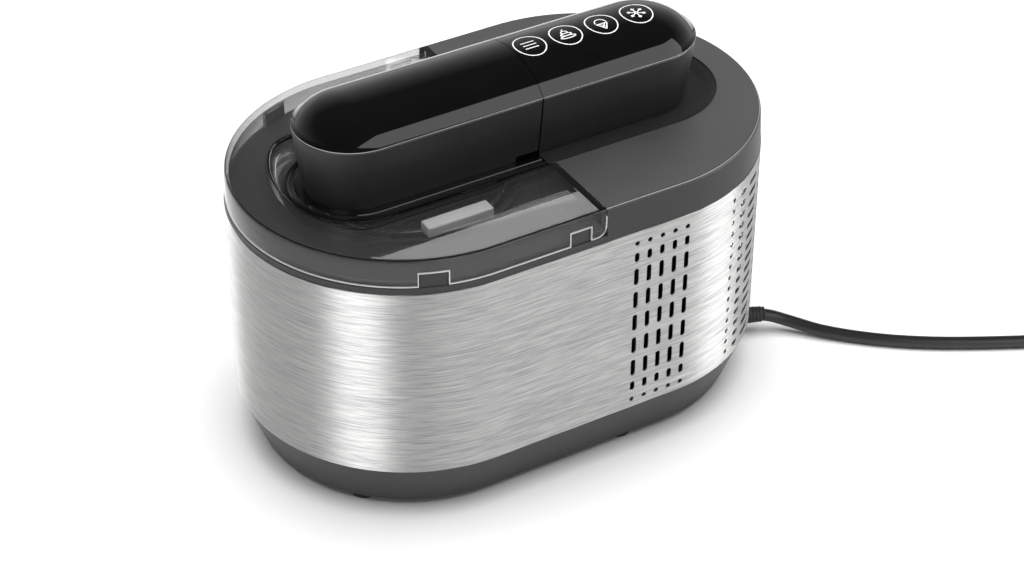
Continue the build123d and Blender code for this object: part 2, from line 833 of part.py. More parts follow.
def bowl_handle():
    """Bail handle, folded down over the front of the bowl."""
    low, high = BAIL_Z - 1.4, BAIL_Z + 1.4
    bail = post(BOWL_X, 0, BAIL_R + 1.7, low, high) - post(BOWL_X, 0, BAIL_R - 1.9, low - 1, high + 1)
    bail &= block((BOWL_X - 70, -70, 150), (BOWL_X + 70, 0, 170))
    for side in (-1, 1):
        end_x = BOWL_X + side * (BAIL_R - 0.1)
        bail += Pos(end_x, 0, BAIL_Z) * Cylinder(1.4, 3.6, rotation=(0, 90, 0))
        pin_x = BOWL_X + side * 58.6
        bail += Pos(pin_x, 0, BAIL_Z) * Cylinder(1.5, 4.6, rotation=(0, 90, 0))
    arms_to_grip = block((BOWL_X - 21, -56.5, low), (BOWL_X - 15, -50, 164)) + block(
        (BOWL_X + 15, -56.5, low), (BOWL_X + 21, -50, 164)
    )
    grip = block((BOWL_X - 22, -61.0, 163.0), (BOWL_X + 22, -53.2, 168.2))
    grip = fillet(grip.edges().filter_by(Axis.X), 1.2)
    return bail + arms_to_grip.intersect(block((-200, -56.5, 0), (200, -52, 300))) + grip


def paddle():
    foot, top = BOWL_FLOOR_Z + BOWL_WALL + 1.0, 140.0
    reach = 54.5
    frame = block((-reach, -2.2, foot), (reach, 2.2, foot + 8))
    frame += block((-reach, -2.2, top - 8), (reach, 2.2, top))
    for side in (-1, 1):
        blade = block((44, -2.2, foot), (reach, 2.2, top))
        frame += blade if side > 0 else blade.rotate(Axis.Z, 180)
    frame += post(0, 0, 9, foot, 157)
    frame -= Pos(0, 0, 152) * Box(DRIVE_SQUARE + 0.8, DRIVE_SQUARE + 0.8, 14)
    frame -= post(0, 0, 3.08, foot - 5, foot + 15)
    return Pos(BOWL_X, 0, 0) * frame


# ---- mains cord ---------------------------------------------------------------------------------
def gland_line():
    """Axis of the cord's exit: from inside the tray to the gland's tip."""
    start = side_of_end(GLAND_TURN, 84, GLAND_Z)
    tip = side_of_end(GLAND_TURN, GLAND_TIP, GLAND_Z)
    return Vector(*start), Vector(*tip)


def gland_bore():
    start, tip = gland_line()
    along = (tip - start).normalized()
    return Plane(origin=start, z_dir=along) * Cylinder(
        5.3, 20, align=(Align.CENTER, Align.CENTER, Align.MIN)
    )


def cord_gland():
    start, tip = gland_line()
    along = (tip - start).normalized()
    plane = Plane(origin=start, z_dir=along, x_dir=(0, 0, 1))
    length = (tip - start).length
    taper = Cone(5.1, 4.4, length, align=(Align.CENTER, Align.CENTER, Align.MIN))
    flange = Pos(1, 0, 1.5) * Box(11, 15, 3)
    return plane * (taper + flange)


# Route of the cord's middle line from the gland's tip, then down to the floor and away to the coil.
CORD_POINTS = [
    (162.77, -42.33, 11.0),
    (174.0, -50.0, 7.0),
    (191.0, -71.0, 3.9),
    (228.0, -104.0, 3.9),
    (283.0, -135.0, 3.9),
    (340.0, -162.0, 3.9),
]


def bend_radii(points):
    """Largest tangent arc that the two runs at each corner allow."""
    radii = []
    for before, here, after in zip(points, points[1:], points[2:]):
        first, second = Vector(*here) - Vector(*before), Vector(*after) - Vector(*here)
        half_turn = radians(first.get_angle(second)) / 2
        radii.append(0.45 * min(first.length, second.length) / tan(half_turn))
    return radii


def cord_tube():
    return pipe(CORD_POINTS, CORD_R, bend_radii(CORD_POINTS))


COIL_HALF_WIDTH = 7.6
COIL_HEIGHT = 15.0


def cord_coil():
    """Outer shape of the coiled, unseen length."""
    section = outline(
        [
            (COIL_R - COIL_HALF_WIDTH, 0.2),
            (COIL_R + COIL_HALF_WIDTH, 0.2),
            (COIL_R + COIL_HALF_WIDTH, COIL_HEIGHT),
            (COIL_R - COIL_HALF_WIDTH, COIL_HEIGHT),
        ],
        [((COIL_R + s * COIL_HALF_WIDTH, z), 3.4) for s in (-1, 1) for z in (0.2, COIL_HEIGHT)],
    )
    return turned(section, *COIL_CENTRE)


TAIL_LENGTH = 52.0
PLUG_GRIP = (24.0, 20.0, 17.0)
PLUG_Z = PLUG_GRIP[2] / 2 + 0.3   # the plug lies on the floor
BLADE = (1.5, 16.0, 6.4)
BLADE_SPACING = 12.7


def cord_tail():
    """Last stretch of cord, from the coil to the plug."""
    x = COIL_CENTRE[0] + COIL_R
    y = COIL_CENTRE[1]
    return Pos(x, y + TAIL_LENGTH / 2 + 4, PLUG_Z) * Cylinder(
        CORD_R, TAIL_LENGTH - 8, rotation=(90, 0, 0)
    )


def plug():
    """Two-blade mains plug lying on the floor, its blades away from the coil."""
    x = COIL_CENTRE[0] + COIL_R
    y = COIL_CENTRE[1] + TAIL_LENGTH
    neck = Pos(x, y + 8, PLUG_Z) * Cone(5.6, 4.6, 16, rotation=(90, 0, 0))
    grip = Pos(x, y + 25, PLUG_Z) * Box(*PLUG_GRIP)
    grip = fillet(grip.edges().filter_by(Axis.Y), 5.0)
    return neck + grip


def plug_blades():
    x = COIL_CENTRE[0] + COIL_R
    y = COIL_CENTRE[1] + TAIL_LENGTH + 35 + BLADE[1] / 2
    return group([Pos(x + s * BLADE_SPACING / 2, y, PLUG_Z) * Box(*BLADE) for s in (-1, 1)])


# ---- every node ---------------------------------------------------------------------------------
NODES = {
    "base_tray": base_tray,
    "rubber_feet": rubber_feet,
    "foot_screws": foot_screws,
    "steel_wrap": steel_wrap,
    "deck": deck,
    "freezing_well": freezing_well,
    "evaporator_coil": evaporator_coil,
    "foam_jacket": foam_jacket,
    "compressor": compressor,
    "compressor_mounts": compressor_mounts,
    "compressor_studs": compressor_studs,
    "condenser": condenser,
    "fan_frame": fan_frame,
    "fan_motor": fan_motor,
    "fan_rotor": fan_rotor,
    "filter_drier": filter_drier,
    "discharge_pipe": discharge_pipe,
    "suction_pipe": suction_pipe,
    "liquid_pipe": liquid_pipe,
    "capillary_pipe": capillary_pipe,
    "power_board": power_board,
    "board_parts": board_parts,
    "board_screws": board_screws,
    "control_housing": control_housing,
    "touch_cover": touch_cover,
    "head_screws": head_screws,
    "touch_board": touch_board,
    "touch_springs": touch_springs,
    "contact_pads": contact_pads,
    "lid_window": lid_window,
    "motor_housing": motor_housing,
    "motor_cover": motor_cover,
    "contact_pins": contact_pins,
    "motor_bracket": motor_bracket,
    "bracket_screws": bracket_screws,
    "gear_motor": gear_motor,
    "shaft_bushes": shaft_bushes,
    "output_gear": output_gear,
    "output_shaft": output_shaft,
    "motor_pinion": motor_pinion,
    "bowl": bowl,
    "bowl_handle": bowl_handle,
    "paddle": paddle,
    "cord_gland": cord_gland,
    "cord_tube": cord_tube,
    "cord_coil": cord_coil,
    "cord_tail": cord_tail,
    "plug": plug,
    "plug_blades": plug_blades,
}


def main():
    os.makedirs("parts", exist_ok=True)
    for name, make in NODES.items():
        export_step(make(), f"parts/{name}.step")
    radii = bend_radii(CORD_POINTS)
    print("cord bend radii", [round(r, 1) for r in radii])
    path = FilletPolyline(*CORD_POINTS, radius=radii)
    straight = pi * CORD_R**2 * path.length
    print("cord tube volume", round(cord_tube().volume), "section times length", round(straight))


main()
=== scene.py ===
import json
from math import asin, cos, pi, radians, sin, sqrt

import bmesh
import bpy
import numpy as np
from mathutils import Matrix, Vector


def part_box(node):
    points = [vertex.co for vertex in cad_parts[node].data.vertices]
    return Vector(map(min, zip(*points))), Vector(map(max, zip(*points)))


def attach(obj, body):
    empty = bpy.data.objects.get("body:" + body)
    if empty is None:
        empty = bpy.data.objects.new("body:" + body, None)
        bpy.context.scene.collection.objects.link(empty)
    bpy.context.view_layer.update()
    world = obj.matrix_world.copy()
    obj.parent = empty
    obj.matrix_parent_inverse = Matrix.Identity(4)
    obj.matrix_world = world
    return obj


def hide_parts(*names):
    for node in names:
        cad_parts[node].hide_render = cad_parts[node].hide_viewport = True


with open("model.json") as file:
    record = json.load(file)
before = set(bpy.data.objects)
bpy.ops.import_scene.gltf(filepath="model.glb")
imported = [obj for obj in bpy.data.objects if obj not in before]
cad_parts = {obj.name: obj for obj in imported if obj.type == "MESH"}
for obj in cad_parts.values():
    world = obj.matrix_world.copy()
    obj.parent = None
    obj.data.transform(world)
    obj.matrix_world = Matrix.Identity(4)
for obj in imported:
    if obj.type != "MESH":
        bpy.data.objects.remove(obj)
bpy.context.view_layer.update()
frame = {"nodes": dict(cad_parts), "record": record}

bl_info = {
    "name": "Ice cream maker finish",
    "version": (1, 0, 0),
    "blender": (4, 5, 0),
    "location": "View3D > Sidebar > Ice cream maker",
    "description": "Moulded, brushed and clear finish for a countertop ice cream maker",
    "category": "Object",
}

# Lengths below are in millimetres until a piece's mesh is made, which turns them into metres.
MM = 0.001


def box_mm(node):
    """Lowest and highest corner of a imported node, in millimetres."""
    low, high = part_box(node)
    return low * 1000, high * 1000


STEEL_LOW, STEEL_HIGH = box_mm("steel_wrap")
TRAY_LOW = box_mm("base_tray")[0]
DECK_HIGH = box_mm("deck")[1]
WELL_LOW, WELL_HIGH = box_mm("freezing_well")
HEAD_LOW = box_mm("motor_housing")[0]
HEAD_HIGH = box_mm("control_housing")[1]
COVER_HIGH = box_mm("motor_cover")[1]

BODY_R = STEEL_HIGH.y
BODY_SPAN = STEEL_HIGH.x - BODY_R
BOWL_X = (WELL_LOW.x + WELL_HIGH.x) / 2
SEAM_X = (box_mm("motor_cover")[1].x + box_mm("touch_cover")[0].x) / 2
SEAM_GAP = 0.2                        # each side's share of the open seam
HEAD_R = HEAD_HIGH.y
HEAD_SPAN = (HEAD_HIGH.x - HEAD_LOW.x) / 2 - HEAD_R
HEAD_X = (HEAD_HIGH.x + HEAD_LOW.x) / 2
HEAD_FOOT_R = 28.0
HEAD_RIM_Z = HEAD_HIGH.z
CROWN_Z = COVER_HIGH.z
DECK_Z = DECK_HIGH.z
RING_Z = STEEL_HIGH.z + 4
LEDGE_Z = RING_Z + 3
DECK_FLOOR_Z = box_mm("control_housing")[0].z
LID_FLOOR_Z = HEAD_LOW.z
CORD_R = (box_mm("cord_tail")[1].x - box_mm("cord_tail")[0].x) / 2


# ---- sizes and colours that a user would change --------------------------------------------------
def length(name, description, default_mm):
    return bpy.props.FloatProperty(
        name=name, description=description, default=default_mm * MM, unit="LENGTH", subtype="DISTANCE",
        precision=4,
    )


def tint(name, description, default):
    return bpy.props.FloatVectorProperty(
        name=name, description=description, default=default, size=3, subtype="COLOR", min=0, max=1
    )


class MachineSizes(bpy.types.PropertyGroup):
    """Sizes of the ice cream maker's shown pieces."""

    slot_width: length("Slot width", "Width of every vent slot in the steel", 3.0)
    front_slot: length("Front slot", "Length of an upright slot in the front and back", 11.0)
    end_slot: length("End slot", "Length of a level slot round the right end", 12.8)
    short_slot: length("Short slot", "Length of the shorter slots at the edge of a vent", 6.2)
    front_column: length("Front columns", "Distance between columns of upright slots", 8.15)
    front_row: length("Front rows", "Distance between rows of upright slots", 15.55)
    end_row: length("End rows", "Distance between rows of level slots", 7.48)
    key_ring: length("Key ring", "Outside diameter of a printed key ring", 19.8)
    key_line: length("Key line", "Width of the printed lines", 0.68)
    key_pitch: length("Key pitch", "Distance between the touch keys", 23.1)
    edge_round: length("Deck edge", "Rounding of the deck's and the lid's top edge", 2.0)


class MachineColours(bpy.types.PropertyGroup):
    """Colours of the ice cream maker's finishes."""

    moulding: tint("Moulding", "Satin plastic of the base and deck", (0.037, 0.037, 0.0375))
    housing: tint("Housing", "Near-black plastic of the head's walls", (0.021, 0.021, 0.0215))
    cover: tint("Cover", "Polished cover of the head", (0.003, 0.003, 0.0032))
    steel: tint("Steel", "Brushed steel wrap", (0.385, 0.383, 0.38))
    smoke: tint("Smoke", "What the clear lid lets through", (0.86, 0.86, 0.865))
    white: tint("White", "Food-grade white moulding", (0.80, 0.80, 0.79))
    jacket: tint("Jacket", "Cord and plug", (0.010, 0.010, 0.0105))


def sizes():
    return bpy.context.scene.machine_sizes


def colours():
    return bpy.context.scene.machine_colours


# ---- finishes -----------------------------------------------------------------------------------
class Shader:
    """A material's node tree, built up from one Principled shader and its pattern nodes."""

    def __init__(self, name):
        self.material = bpy.data.materials.new(name)
        self.material.use_nodes = True
        self.nodes = self.material.node_tree.nodes
        self.links = self.material.node_tree.links
        self.main = self.nodes["Principled BSDF"]
        self.where = self.add("ShaderNodeTexCoord").outputs["Object"]

    def add(self, kind, **values):
        """A new node with its settings, or its inputs, by name."""
        node = self.nodes.new(kind)
        for key, value in values.items():
            if hasattr(node, key):
                setattr(node, key, value)
            else:
                node.inputs[key.replace("_", " ")].default_value = value
        return node

    def join(self, start, end):
        self.links.new(start, end)

    def scaled(self, scale, source=None):
        """Coordinates multiplied by a scale for each axis, in repeats per metre."""
        mapping = self.add("ShaderNodeMapping")
        mapping.inputs["Scale"].default_value = scale
        self.join(source or self.where, mapping.inputs["Vector"])
        return mapping.outputs["Vector"]

    def noise(self, scale, detail=3.0, roughness=0.55, source=None):
        """Noise between 0 and 1, at a scale for each axis."""
        texture = self.add("ShaderNodeTexNoise")
        texture.inputs["Scale"].default_value = 1.0
        texture.inputs["Detail"].default_value = detail
        texture.inputs["Roughness"].default_value = roughness
        self.join(self.scaled(scale, source), texture.inputs["Vector"])
        return texture.outputs["Fac"]

    def ranged(self, value, low, high, spread=(0.3, 0.7)):
        """The value carried from its usual spread to a range."""
        node = self.add("ShaderNodeMapRange")
        node.inputs["From Min"].default_value, node.inputs["From Max"].default_value = spread
        node.inputs["To Min"].default_value, node.inputs["To Max"].default_value = low, high
        self.join(value, node.inputs["Value"])
        return node.outputs["Result"]

    def shaded(self, value, dark, light):
        """Colour between two shades by a value."""
        mix = self.add("ShaderNodeMix", data_type="RGBA")
        ends = {socket.identifier: socket for socket in mix.inputs}
        ends["A_Color"].default_value = (*dark, 1)
        ends["B_Color"].default_value = (*light, 1)
        self.join(value, mix.inputs[0])
        return next(o for o in mix.outputs if o.identifier == "Result_Color")

    def bump(self, value, height, strength=1.0, under=None):
        """Relief of a height in metres from a value."""
        node = self.add("ShaderNodeBump")
        node.inputs["Strength"].default_value = strength
        node.inputs["Distance"].default_value = height
        self.join(value, node.inputs["Height"])
        if under is not None:
            self.join(under, node.inputs["Normal"])
        return node.outputs["Normal"]

    def set(self, **values):
        """Values of the Principled shader by name; an underscore stands for a space."""
        for key, value in values.items():
            self.main.inputs[key.replace("_", " ")].default_value = value

    def mottled(self, value, colour, mottle):
        """Base colour that strays from a colour by a share, up and down with a value."""
        shades = self.shaded(value, shade(colour, 1 - mottle), shade(colour, 1 + mottle))
        self.join(shades, self.main.inputs["Base Color"])


def shade(colour, factor):
    """A colour made lighter or darker by a factor."""
    return tuple(min(1.0, c * factor) for c in colour)


def moulded(name, colour, rough=0.42, grain=1400.0, depth=0.000008, specular=0.5, mottle=0.07,
            spread=0.05):
    """Injection-moulded plastic: fine spark texture, slight uneven tone and sheen."""
    s = Shader(name)
    grain_value = s.noise((grain,) * 3, 4.0, 0.6)
    tone = s.noise((23.0,) * 3, 2.0)
    s.mottled(s.ranged(tone, 0, 1), colour, mottle)
    s.join(s.ranged(grain_value, rough - spread, rough + spread), s.main.inputs["Roughness"])
    s.join(s.bump(grain_value, depth), s.main.inputs["Normal"])
    s.set(Specular_IOR_Level=specular)
    return s.material


def polished(name, colour, rough=0.05, specular=0.5, wave=0.0000012):
    """Polished hard-coated plastic: very slight waviness and hairline wear in the gloss."""
    s = Shader(name)
    wavy = s.noise((38.0,) * 3, 2.0)
    hair = s.noise((2600.0, 90.0, 300.0), 3.0)
    s.mottled(s.ranged(wavy, 0, 1), colour, 0.15)
    s.join(s.ranged(hair, rough * 0.7, rough * 1.5, (0.35, 0.75)), s.main.inputs["Roughness"])
    s.join(s.bump(wavy, wave), s.main.inputs["Normal"])
    s.set(Specular_IOR_Level=specular)
    return s.material


def brushed(name, colour, rough=0.46, streak=2600.0, run=58.0, anisotropic=0.9, contrast=0.32):
    """Brushed metal: long fine scratches, level round an upright axis."""
    s = Shader(name)
    fine = s.noise((run, run, streak), 4.0, 0.62)
    coarse = s.noise((run * 0.6, run * 0.6, streak * 0.45), 3.0, 0.5)
    blend = s.add("ShaderNodeMath", operation="MULTIPLY_ADD")
    blend.inputs[1].default_value = 0.7
    s.join(fine, blend.inputs[0])
    weighted = s.add("ShaderNodeMath", operation="MULTIPLY")
    weighted.inputs[1].default_value = 0.3
    s.join(coarse, weighted.inputs[0])
    s.join(weighted.outputs[0], blend.inputs[2])
    value = blend.outputs[0]
    s.mottled(s.ranged(value, 0, 1, (0.38, 0.62)), colour, contrast)
    s.join(s.ranged(value, rough - 0.07, rough + 0.10, (0.36, 0.64)), s.main.inputs["Roughness"])
    s.join(s.bump(value, 0.000003, 0.25), s.main.inputs["Normal"])
    tangent = s.add("ShaderNodeTangent", direction_type="RADIAL", axis="Z")
    s.join(tangent.outputs["Tangent"], s.main.inputs["Tangent"])
    s.set(Metallic=1.0, Anisotropic=anisotropic, Anisotropic_Rotation=0.25)
    return s.material


def metal(name, colour, rough=0.3, grain=600.0, mottle=0.12, bump=0.00001):
    """Plain metal surface with faint machining and handling marks."""
    s = Shader(name)
    marks = s.noise((grain, grain, grain * 0.35), 4.0, 0.6)
    tone = s.noise((60.0,) * 3, 2.0)
    s.mottled(s.ranged(tone, 0, 1), colour, mottle)
    s.join(s.ranged(marks, rough - 0.08, rough + 0.1), s.main.inputs["Roughness"])
    s.join(s.bump(marks, bump), s.main.inputs["Normal"])
    s.set(Metallic=1.0)
    return s.material


def smoked(name, through_tint, body=(0.16, 0.16, 0.165), opaque=0.05, edge_tint=0.10,
           darkening=2.4, mirroring=5.0, mirror_range=(0.024, 0.9)):
    """Smoked clear plastic: darker where the sheet is looked along, and mirrors more at a glance.
    darkening and mirroring are powers of the glance, which is 0 straight on and 1 along the sheet."""
    s = Shader(name)
    wavy = s.noise((16.0,) * 3, 2.0)
    s.mottled(s.ranged(wavy, 0, 1), body, 0.2)
    s.join(s.ranged(s.noise((220.0,) * 3, 3.0), 0.03, 0.06), s.main.inputs["Roughness"])
    ripple = s.bump(wavy, 0.000003)
    s.join(ripple, s.main.inputs["Normal"])
    glance = s.add("ShaderNodeLayerWeight")
    glance.inputs["Blend"].default_value = 0.5
    along_sheet = s.add("ShaderNodeMath", operation="POWER")
    s.join(glance.outputs["Facing"], along_sheet.inputs[0])
    along_sheet.inputs[1].default_value = darkening
    through = s.add("ShaderNodeBsdfTransparent")
    tinted = s.shaded(along_sheet.outputs[0], through_tint, shade(through_tint, edge_tint))
    s.join(tinted, through.inputs["Color"])
    sheet = s.add("ShaderNodeMixShader")
    sheet.inputs[0].default_value = opaque
    s.join(through.outputs[0], sheet.inputs[1])
    s.join(s.main.outputs[0], sheet.inputs[2])
    steep = s.add("ShaderNodeMath", operation="POWER")
    s.join(glance.outputs["Facing"], steep.inputs[0])
    steep.inputs[1].default_value = mirroring
    mirror = s.add("ShaderNodeBsdfAnisotropic")
    mirror.inputs["Color"].default_value = (1, 1, 1, 1)
    mirror.inputs["Roughness"].default_value = 0.03
    s.join(ripple, mirror.inputs["Normal"])
    surface = s.add("ShaderNodeMixShader")
    s.join(s.ranged(steep.outputs[0], *mirror_range, (0.0, 1.0)), surface.inputs[0])
    s.join(sheet.outputs[0], surface.inputs[1])
    s.join(mirror.outputs[0], surface.inputs[2])
    s.join(surface.outputs[0], s.nodes["Material Output"].inputs["Surface"])
    return s.material


def jacketed(name, colour, rough=0.36):
    """Extruded cable jacket or moulded rubber: satin, with faint drag lines and dust."""
    s = Shader(name)
    fine = s.noise((900.0,) * 3, 3.0)
    dust = s.noise((45.0,) * 3, 3.0)
    s.join(s.shaded(s.ranged(dust, 0, 1), colour, shade(colour, 1.5)), s.main.inputs["Base Color"])
    s.join(s.ranged(fine, rough - 0.05, rough + 0.08), s.main.inputs["Roughness"])
    s.join(s.bump(fine, 0.000015), s.main.inputs["Normal"])
    return s.material


def board(name):
    """Circuit board: solder mask with darker tracks under it."""
    s = Shader(name)
    tracks = s.add("ShaderNodeTexBrick")
    s.join(s.scaled((160.0, 160.0, 160.0)), tracks.inputs["Vector"])
    tracks.inputs["Color1"].default_value = (0.015, 0.13, 0.05, 1)
    tracks.inputs["Color2"].default_value = (0.02, 0.17, 0.07, 1)
    tracks.inputs["Mortar"].default_value = (0.05, 0.24, 0.11, 1)
    s.join(tracks.outputs["Color"], s.main.inputs["Base Color"])
    s.join(s.ranged(s.noise((400.0,) * 3), 0.25, 0.4), s.main.inputs["Roughness"])
    s.join(s.bump(tracks.outputs["Fac"], 0.00002), s.main.inputs["Normal"])
    return s.material


def foamed(name):
    """Rigid insulating foam: cells and a skin of uneven tone."""
    s = Shader(name)
    cells = s.add("ShaderNodeTexVoronoi")
    s.join(s.scaled((900.0,) * 3), cells.inputs["Vector"])
    cells.inputs["Scale"].default_value = 1.0
    tone = s.noise((35.0,) * 3)
    shades = s.shaded(s.ranged(tone, 0, 1), (0.62, 0.52, 0.30), (0.80, 0.70, 0.46))
    s.join(shades, s.main.inputs["Base Color"])
    s.join(s.ranged(tone, 0.8, 0.95), s.main.inputs["Roughness"])
    s.join(s.bump(cells.outputs["Distance"], 0.0003), s.main.inputs["Normal"])
    return s.material


FINISHES = {}


def finish(name):
    """The machine's finishes, each made once."""
    if name not in FINISHES:
        c = colours()
        # base and channel are lighter and darker copies of the satin moulding: painted light on the
        # downward-facing base, painted shade in the channel round the head
        satin, base, channel = c.moulding, shade(c.moulding, 1.3), shade(c.moulding, 0.45)
        bare, spun, enamel = (0.62, 0.62, 0.63), (0.50, 0.50, 0.51), (0.012, 0.012, 0.013)
        made = {
            "body_plastic": lambda: moulded("satin moulding", satin, 0.46, specular=0.25),
            # painted light: the body moulding made lighter for the downward-facing base
            "lightened_base_moulding": lambda: moulded("body moulding painted lighter for the base", base, 0.46, specular=0.25),
            # painted shade: the body moulding darkened for the channel round the head
            "painted_channel_shade": lambda: moulded("moulding darkened as channel shade", channel, 0.5, specular=0.2),
            # painted highlight: a light grey strip along the deck's top edge
            "painted_deck_rim_highlight": lambda: moulded("painted deck rim highlight", (0.30, 0.30, 0.30), 0.3),
            # painted shade: pure black for the dark inside of a notch
            "black_painted_shade": lambda: moulded("black painted shade", (0.002, 0.002, 0.002), 0.8, specular=0.0),
            # painted shade: dark fins for the inside seen through the vent slots
            "fins_darkened_as_shade": lambda: metal("fins darkened as painted shade", (0.05, 0.05, 0.05), 0.5),
            "head_plastic": lambda: moulded("satin black housing", c.housing, 0.36, 1700, 0.00001,
                                            0.45),
            "gloss_black": lambda: polished("polished black cover", c.cover, 0.05),
            "smoked_clear": lambda: smoked("smoked clear lid", c.smoke),
            "brushed_steel": lambda: brushed("brushed steel", c.steel),
            "screw_steel": lambda: metal("plated screw steel", (0.55, 0.55, 0.56), 0.28),
            "aluminium": lambda: metal("satin aluminium", bare, 0.34, 900.0),
            "spun_aluminium": lambda: brushed("spun aluminium", spun, 0.34, 1800.0, 9.0, 0.6, 0.10),
            "copper": lambda: metal("bare copper", (0.66, 0.30, 0.17), 0.3),
            "foam": lambda: foamed("rigid foam"),
            "compressor_paint": lambda: moulded("black enamel", enamel, 0.28, 260.0, 0.00006),
            "inner_plastic": lambda: moulded("inner moulding", (0.016, 0.016, 0.017), 0.5),
            "white_plastic": lambda: moulded("white moulding", c.white, 0.34, 1200.0, 0.000012,
                                             mottle=0.02),
            "board_green": lambda: board("circuit board"),
            "bush_brass": lambda: metal("turned brass", (0.62, 0.43, 0.18), 0.26, 1300.0),
            "gear_nylon": lambda: moulded("moulded nylon", (0.62, 0.60, 0.52), 0.42),
            "rubber": lambda: jacketed("moulded rubber", (0.012, 0.012, 0.012), 0.6),
            "cord_black": lambda: jacketed("cable jacket", c.jacket),
            # painted highlight: a light grey strip on the black cover's rim
            "painted_cover_rim_highlight": lambda: polished("painted cover rim highlight", (0.50, 0.50, 0.50), 0.18),
            # painted highlight: a light grey strip on the clear lid's bottom edge
            "painted_lid_edge_highlight": lambda: moulded("painted lid edge highlight", bare, 0.25, 700.0, 0.000004, 0.8, 0.2),
            "key_print": lambda: moulded("printed mark", (0.78, 0.78, 0.78), 0.45, 800.0, 0.000005,
                                         mottle=0.04),
        }
        FINISHES[name] = made[name]()
    return FINISHES[name]


# ---- mesh making --------------------------------------------------------------------------------
class Track:
    """A line in plan with an outward direction at each point, along which a section is carried."""

    def __init__(self, spine, outward, closed=False):
        self.spine = np.array(spine, float)
        self.outward = np.array(outward, float)
        self.closed = closed

    def row(self, distance, height):
        """The line moved outwards by a distance and lifted to a height."""
        out = np.zeros((len(self.spine), 3))
        out[:, :2] = self.spine + self.outward * np.reshape(distance, (-1, 1))
        out[:, 2] = height
        return out

    def reach(self, distance):
        """Share of the whole length at each point, measured on the line moved outwards."""
        line = self.spine + self.outward * distance
        steps = np.linalg.norm(np.diff(line, axis=0), axis=1)
        total = np.concatenate([[0.0], np.cumsum(steps)])
        return total / total[-1], total[-1]

    def at(self, shares, distance):
        """A track with points at these shares of the length of the line at a distance."""
        here, _ = self.reach(distance)
        spine = np.stack([np.interp(shares, here, self.spine[:, k]) for k in (0, 1)], axis=1)
        outward = np.stack([np.interp(shares, here, self.outward[:, k]) for k in (0, 1)], axis=1)
        return Track(spine, outward / np.linalg.norm(outward, axis=1)[:, None])


def fan(centre, start, end, count):
    """Spine points and outward directions round an end, angles in degrees."""
    turns = np.radians(np.linspace(start, end, count))
    return [centre] * count, np.stack([np.cos(turns), np.sin(turns)], axis=1)


def stadium(span, middle, side=0, seam=SEAM_X, bend=96, run=24):
    """Track round a stadium plan: the part left of the seam (-1), right of it (1) or the whole (0)."""
    if side == 0:
        right, left = middle + span, middle - span
        front = np.linspace(left, right, run)
        a, da = fan((right, 0), -90, 90, bend)
        b, db = fan((left, 0), 90, 270, bend)
        spine = [(x, 0) for x in front[1:-1]] + list(a) + [(x, 0) for x in front[::-1][1:-1]] + list(b)
        outward = [(0, -1)] * (run - 2) + list(da) + [(0, 1)] * (run - 2) + list(db)
        return Track(spine, outward, True)
    end = middle + side * span
    straight = np.linspace(seam, end, run)[:-1]
    a, da = fan((end, 0), -90, 90 if side > 0 else -270, bend)
    spine = [(x, 0) for x in straight] + list(a) + [(x, 0) for x in straight[::-1]]
    outward = [(0, -1)] * (run - 1) + list(da) + [(0, 1)] * (run - 1)
    return Track(spine, outward)


def ring(x=BOWL_X, y=0.0, count=128):
    """Closed round track about an upright axis."""
    turns = np.linspace(0, 2 * pi, count, endpoint=False)
    return Track([(x, y)] * count, np.stack([np.cos(turns), np.sin(turns)], axis=1), True)


def arc(centre_d, centre_z, radius, start, end, steps=6):
    """Distances and heights along an arc of a section, angles in degrees from outwards to up."""
    turns = np.radians(np.linspace(start, end, steps + 1))
    return [(centre_d + radius * cos(t), centre_z + radius * sin(t)) for t in turns]


def rows_on(track, section):
    """A section's distances and heights carried along a track."""
    return [track.row(d, z) for d, z in section]


def skin(rows, closed_track, closed_section=True, lids=False, open_after=()):
    """Points and faces of a surface through rows of points.
    closed_section joins the last row to the first, and lids fills a closed track's first and last rows.
    Rows named in open_after are not joined to the next one, because both lie on the spine."""
    count, across = len(rows), len(rows[0])
    faces = []
    for r in range(count if closed_section else count - 1):
        if r in open_after:
            continue
        low, high = r * across, ((r + 1) % count) * across
        for c in range(across if closed_track else across - 1):
            d = (c + 1) % across
            faces.append((low + c, low + d, high + d, high + c))
    if not closed_track and closed_section:
        faces.append(tuple(r * across for r in range(count)))
        faces.append(tuple(r * across + across - 1 for r in reversed(range(count))))
    if lids:
        faces.append(tuple(range(across)))
        faces.append(tuple((count - 1) * across + c for c in reversed(range(across))))
    return np.concatenate(rows), faces


def piece(name, shapes, material, sharp=35.0, bevel=0.0, scale=MM):
    """One object from shapes of points and faces: doubles merged, faces outwards, edges kept."""
    shape_mesh = bmesh.new()
    for points, faces in shapes:
        made = [shape_mesh.verts.new(Vector([float(v) for v in p]) * scale) for p in points]
        for face in faces:
            corners = [made[i] for i in dict.fromkeys(face)]
            if len(corners) > 2:
                shape_mesh.faces.new(corners)
    bmesh.ops.remove_doubles(shape_mesh, verts=shape_mesh.verts, dist=2e-6)
    bmesh.ops.dissolve_degenerate(shape_mesh, edges=shape_mesh.edges, dist=1e-6)
    bmesh.ops.recalc_face_normals(shape_mesh, faces=shape_mesh.faces)
    mesh = bpy.data.meshes.new(name)
    shape_mesh.to_mesh(mesh)
    shape_mesh.free()
    return shown(name, mesh, material, sharp, bevel)


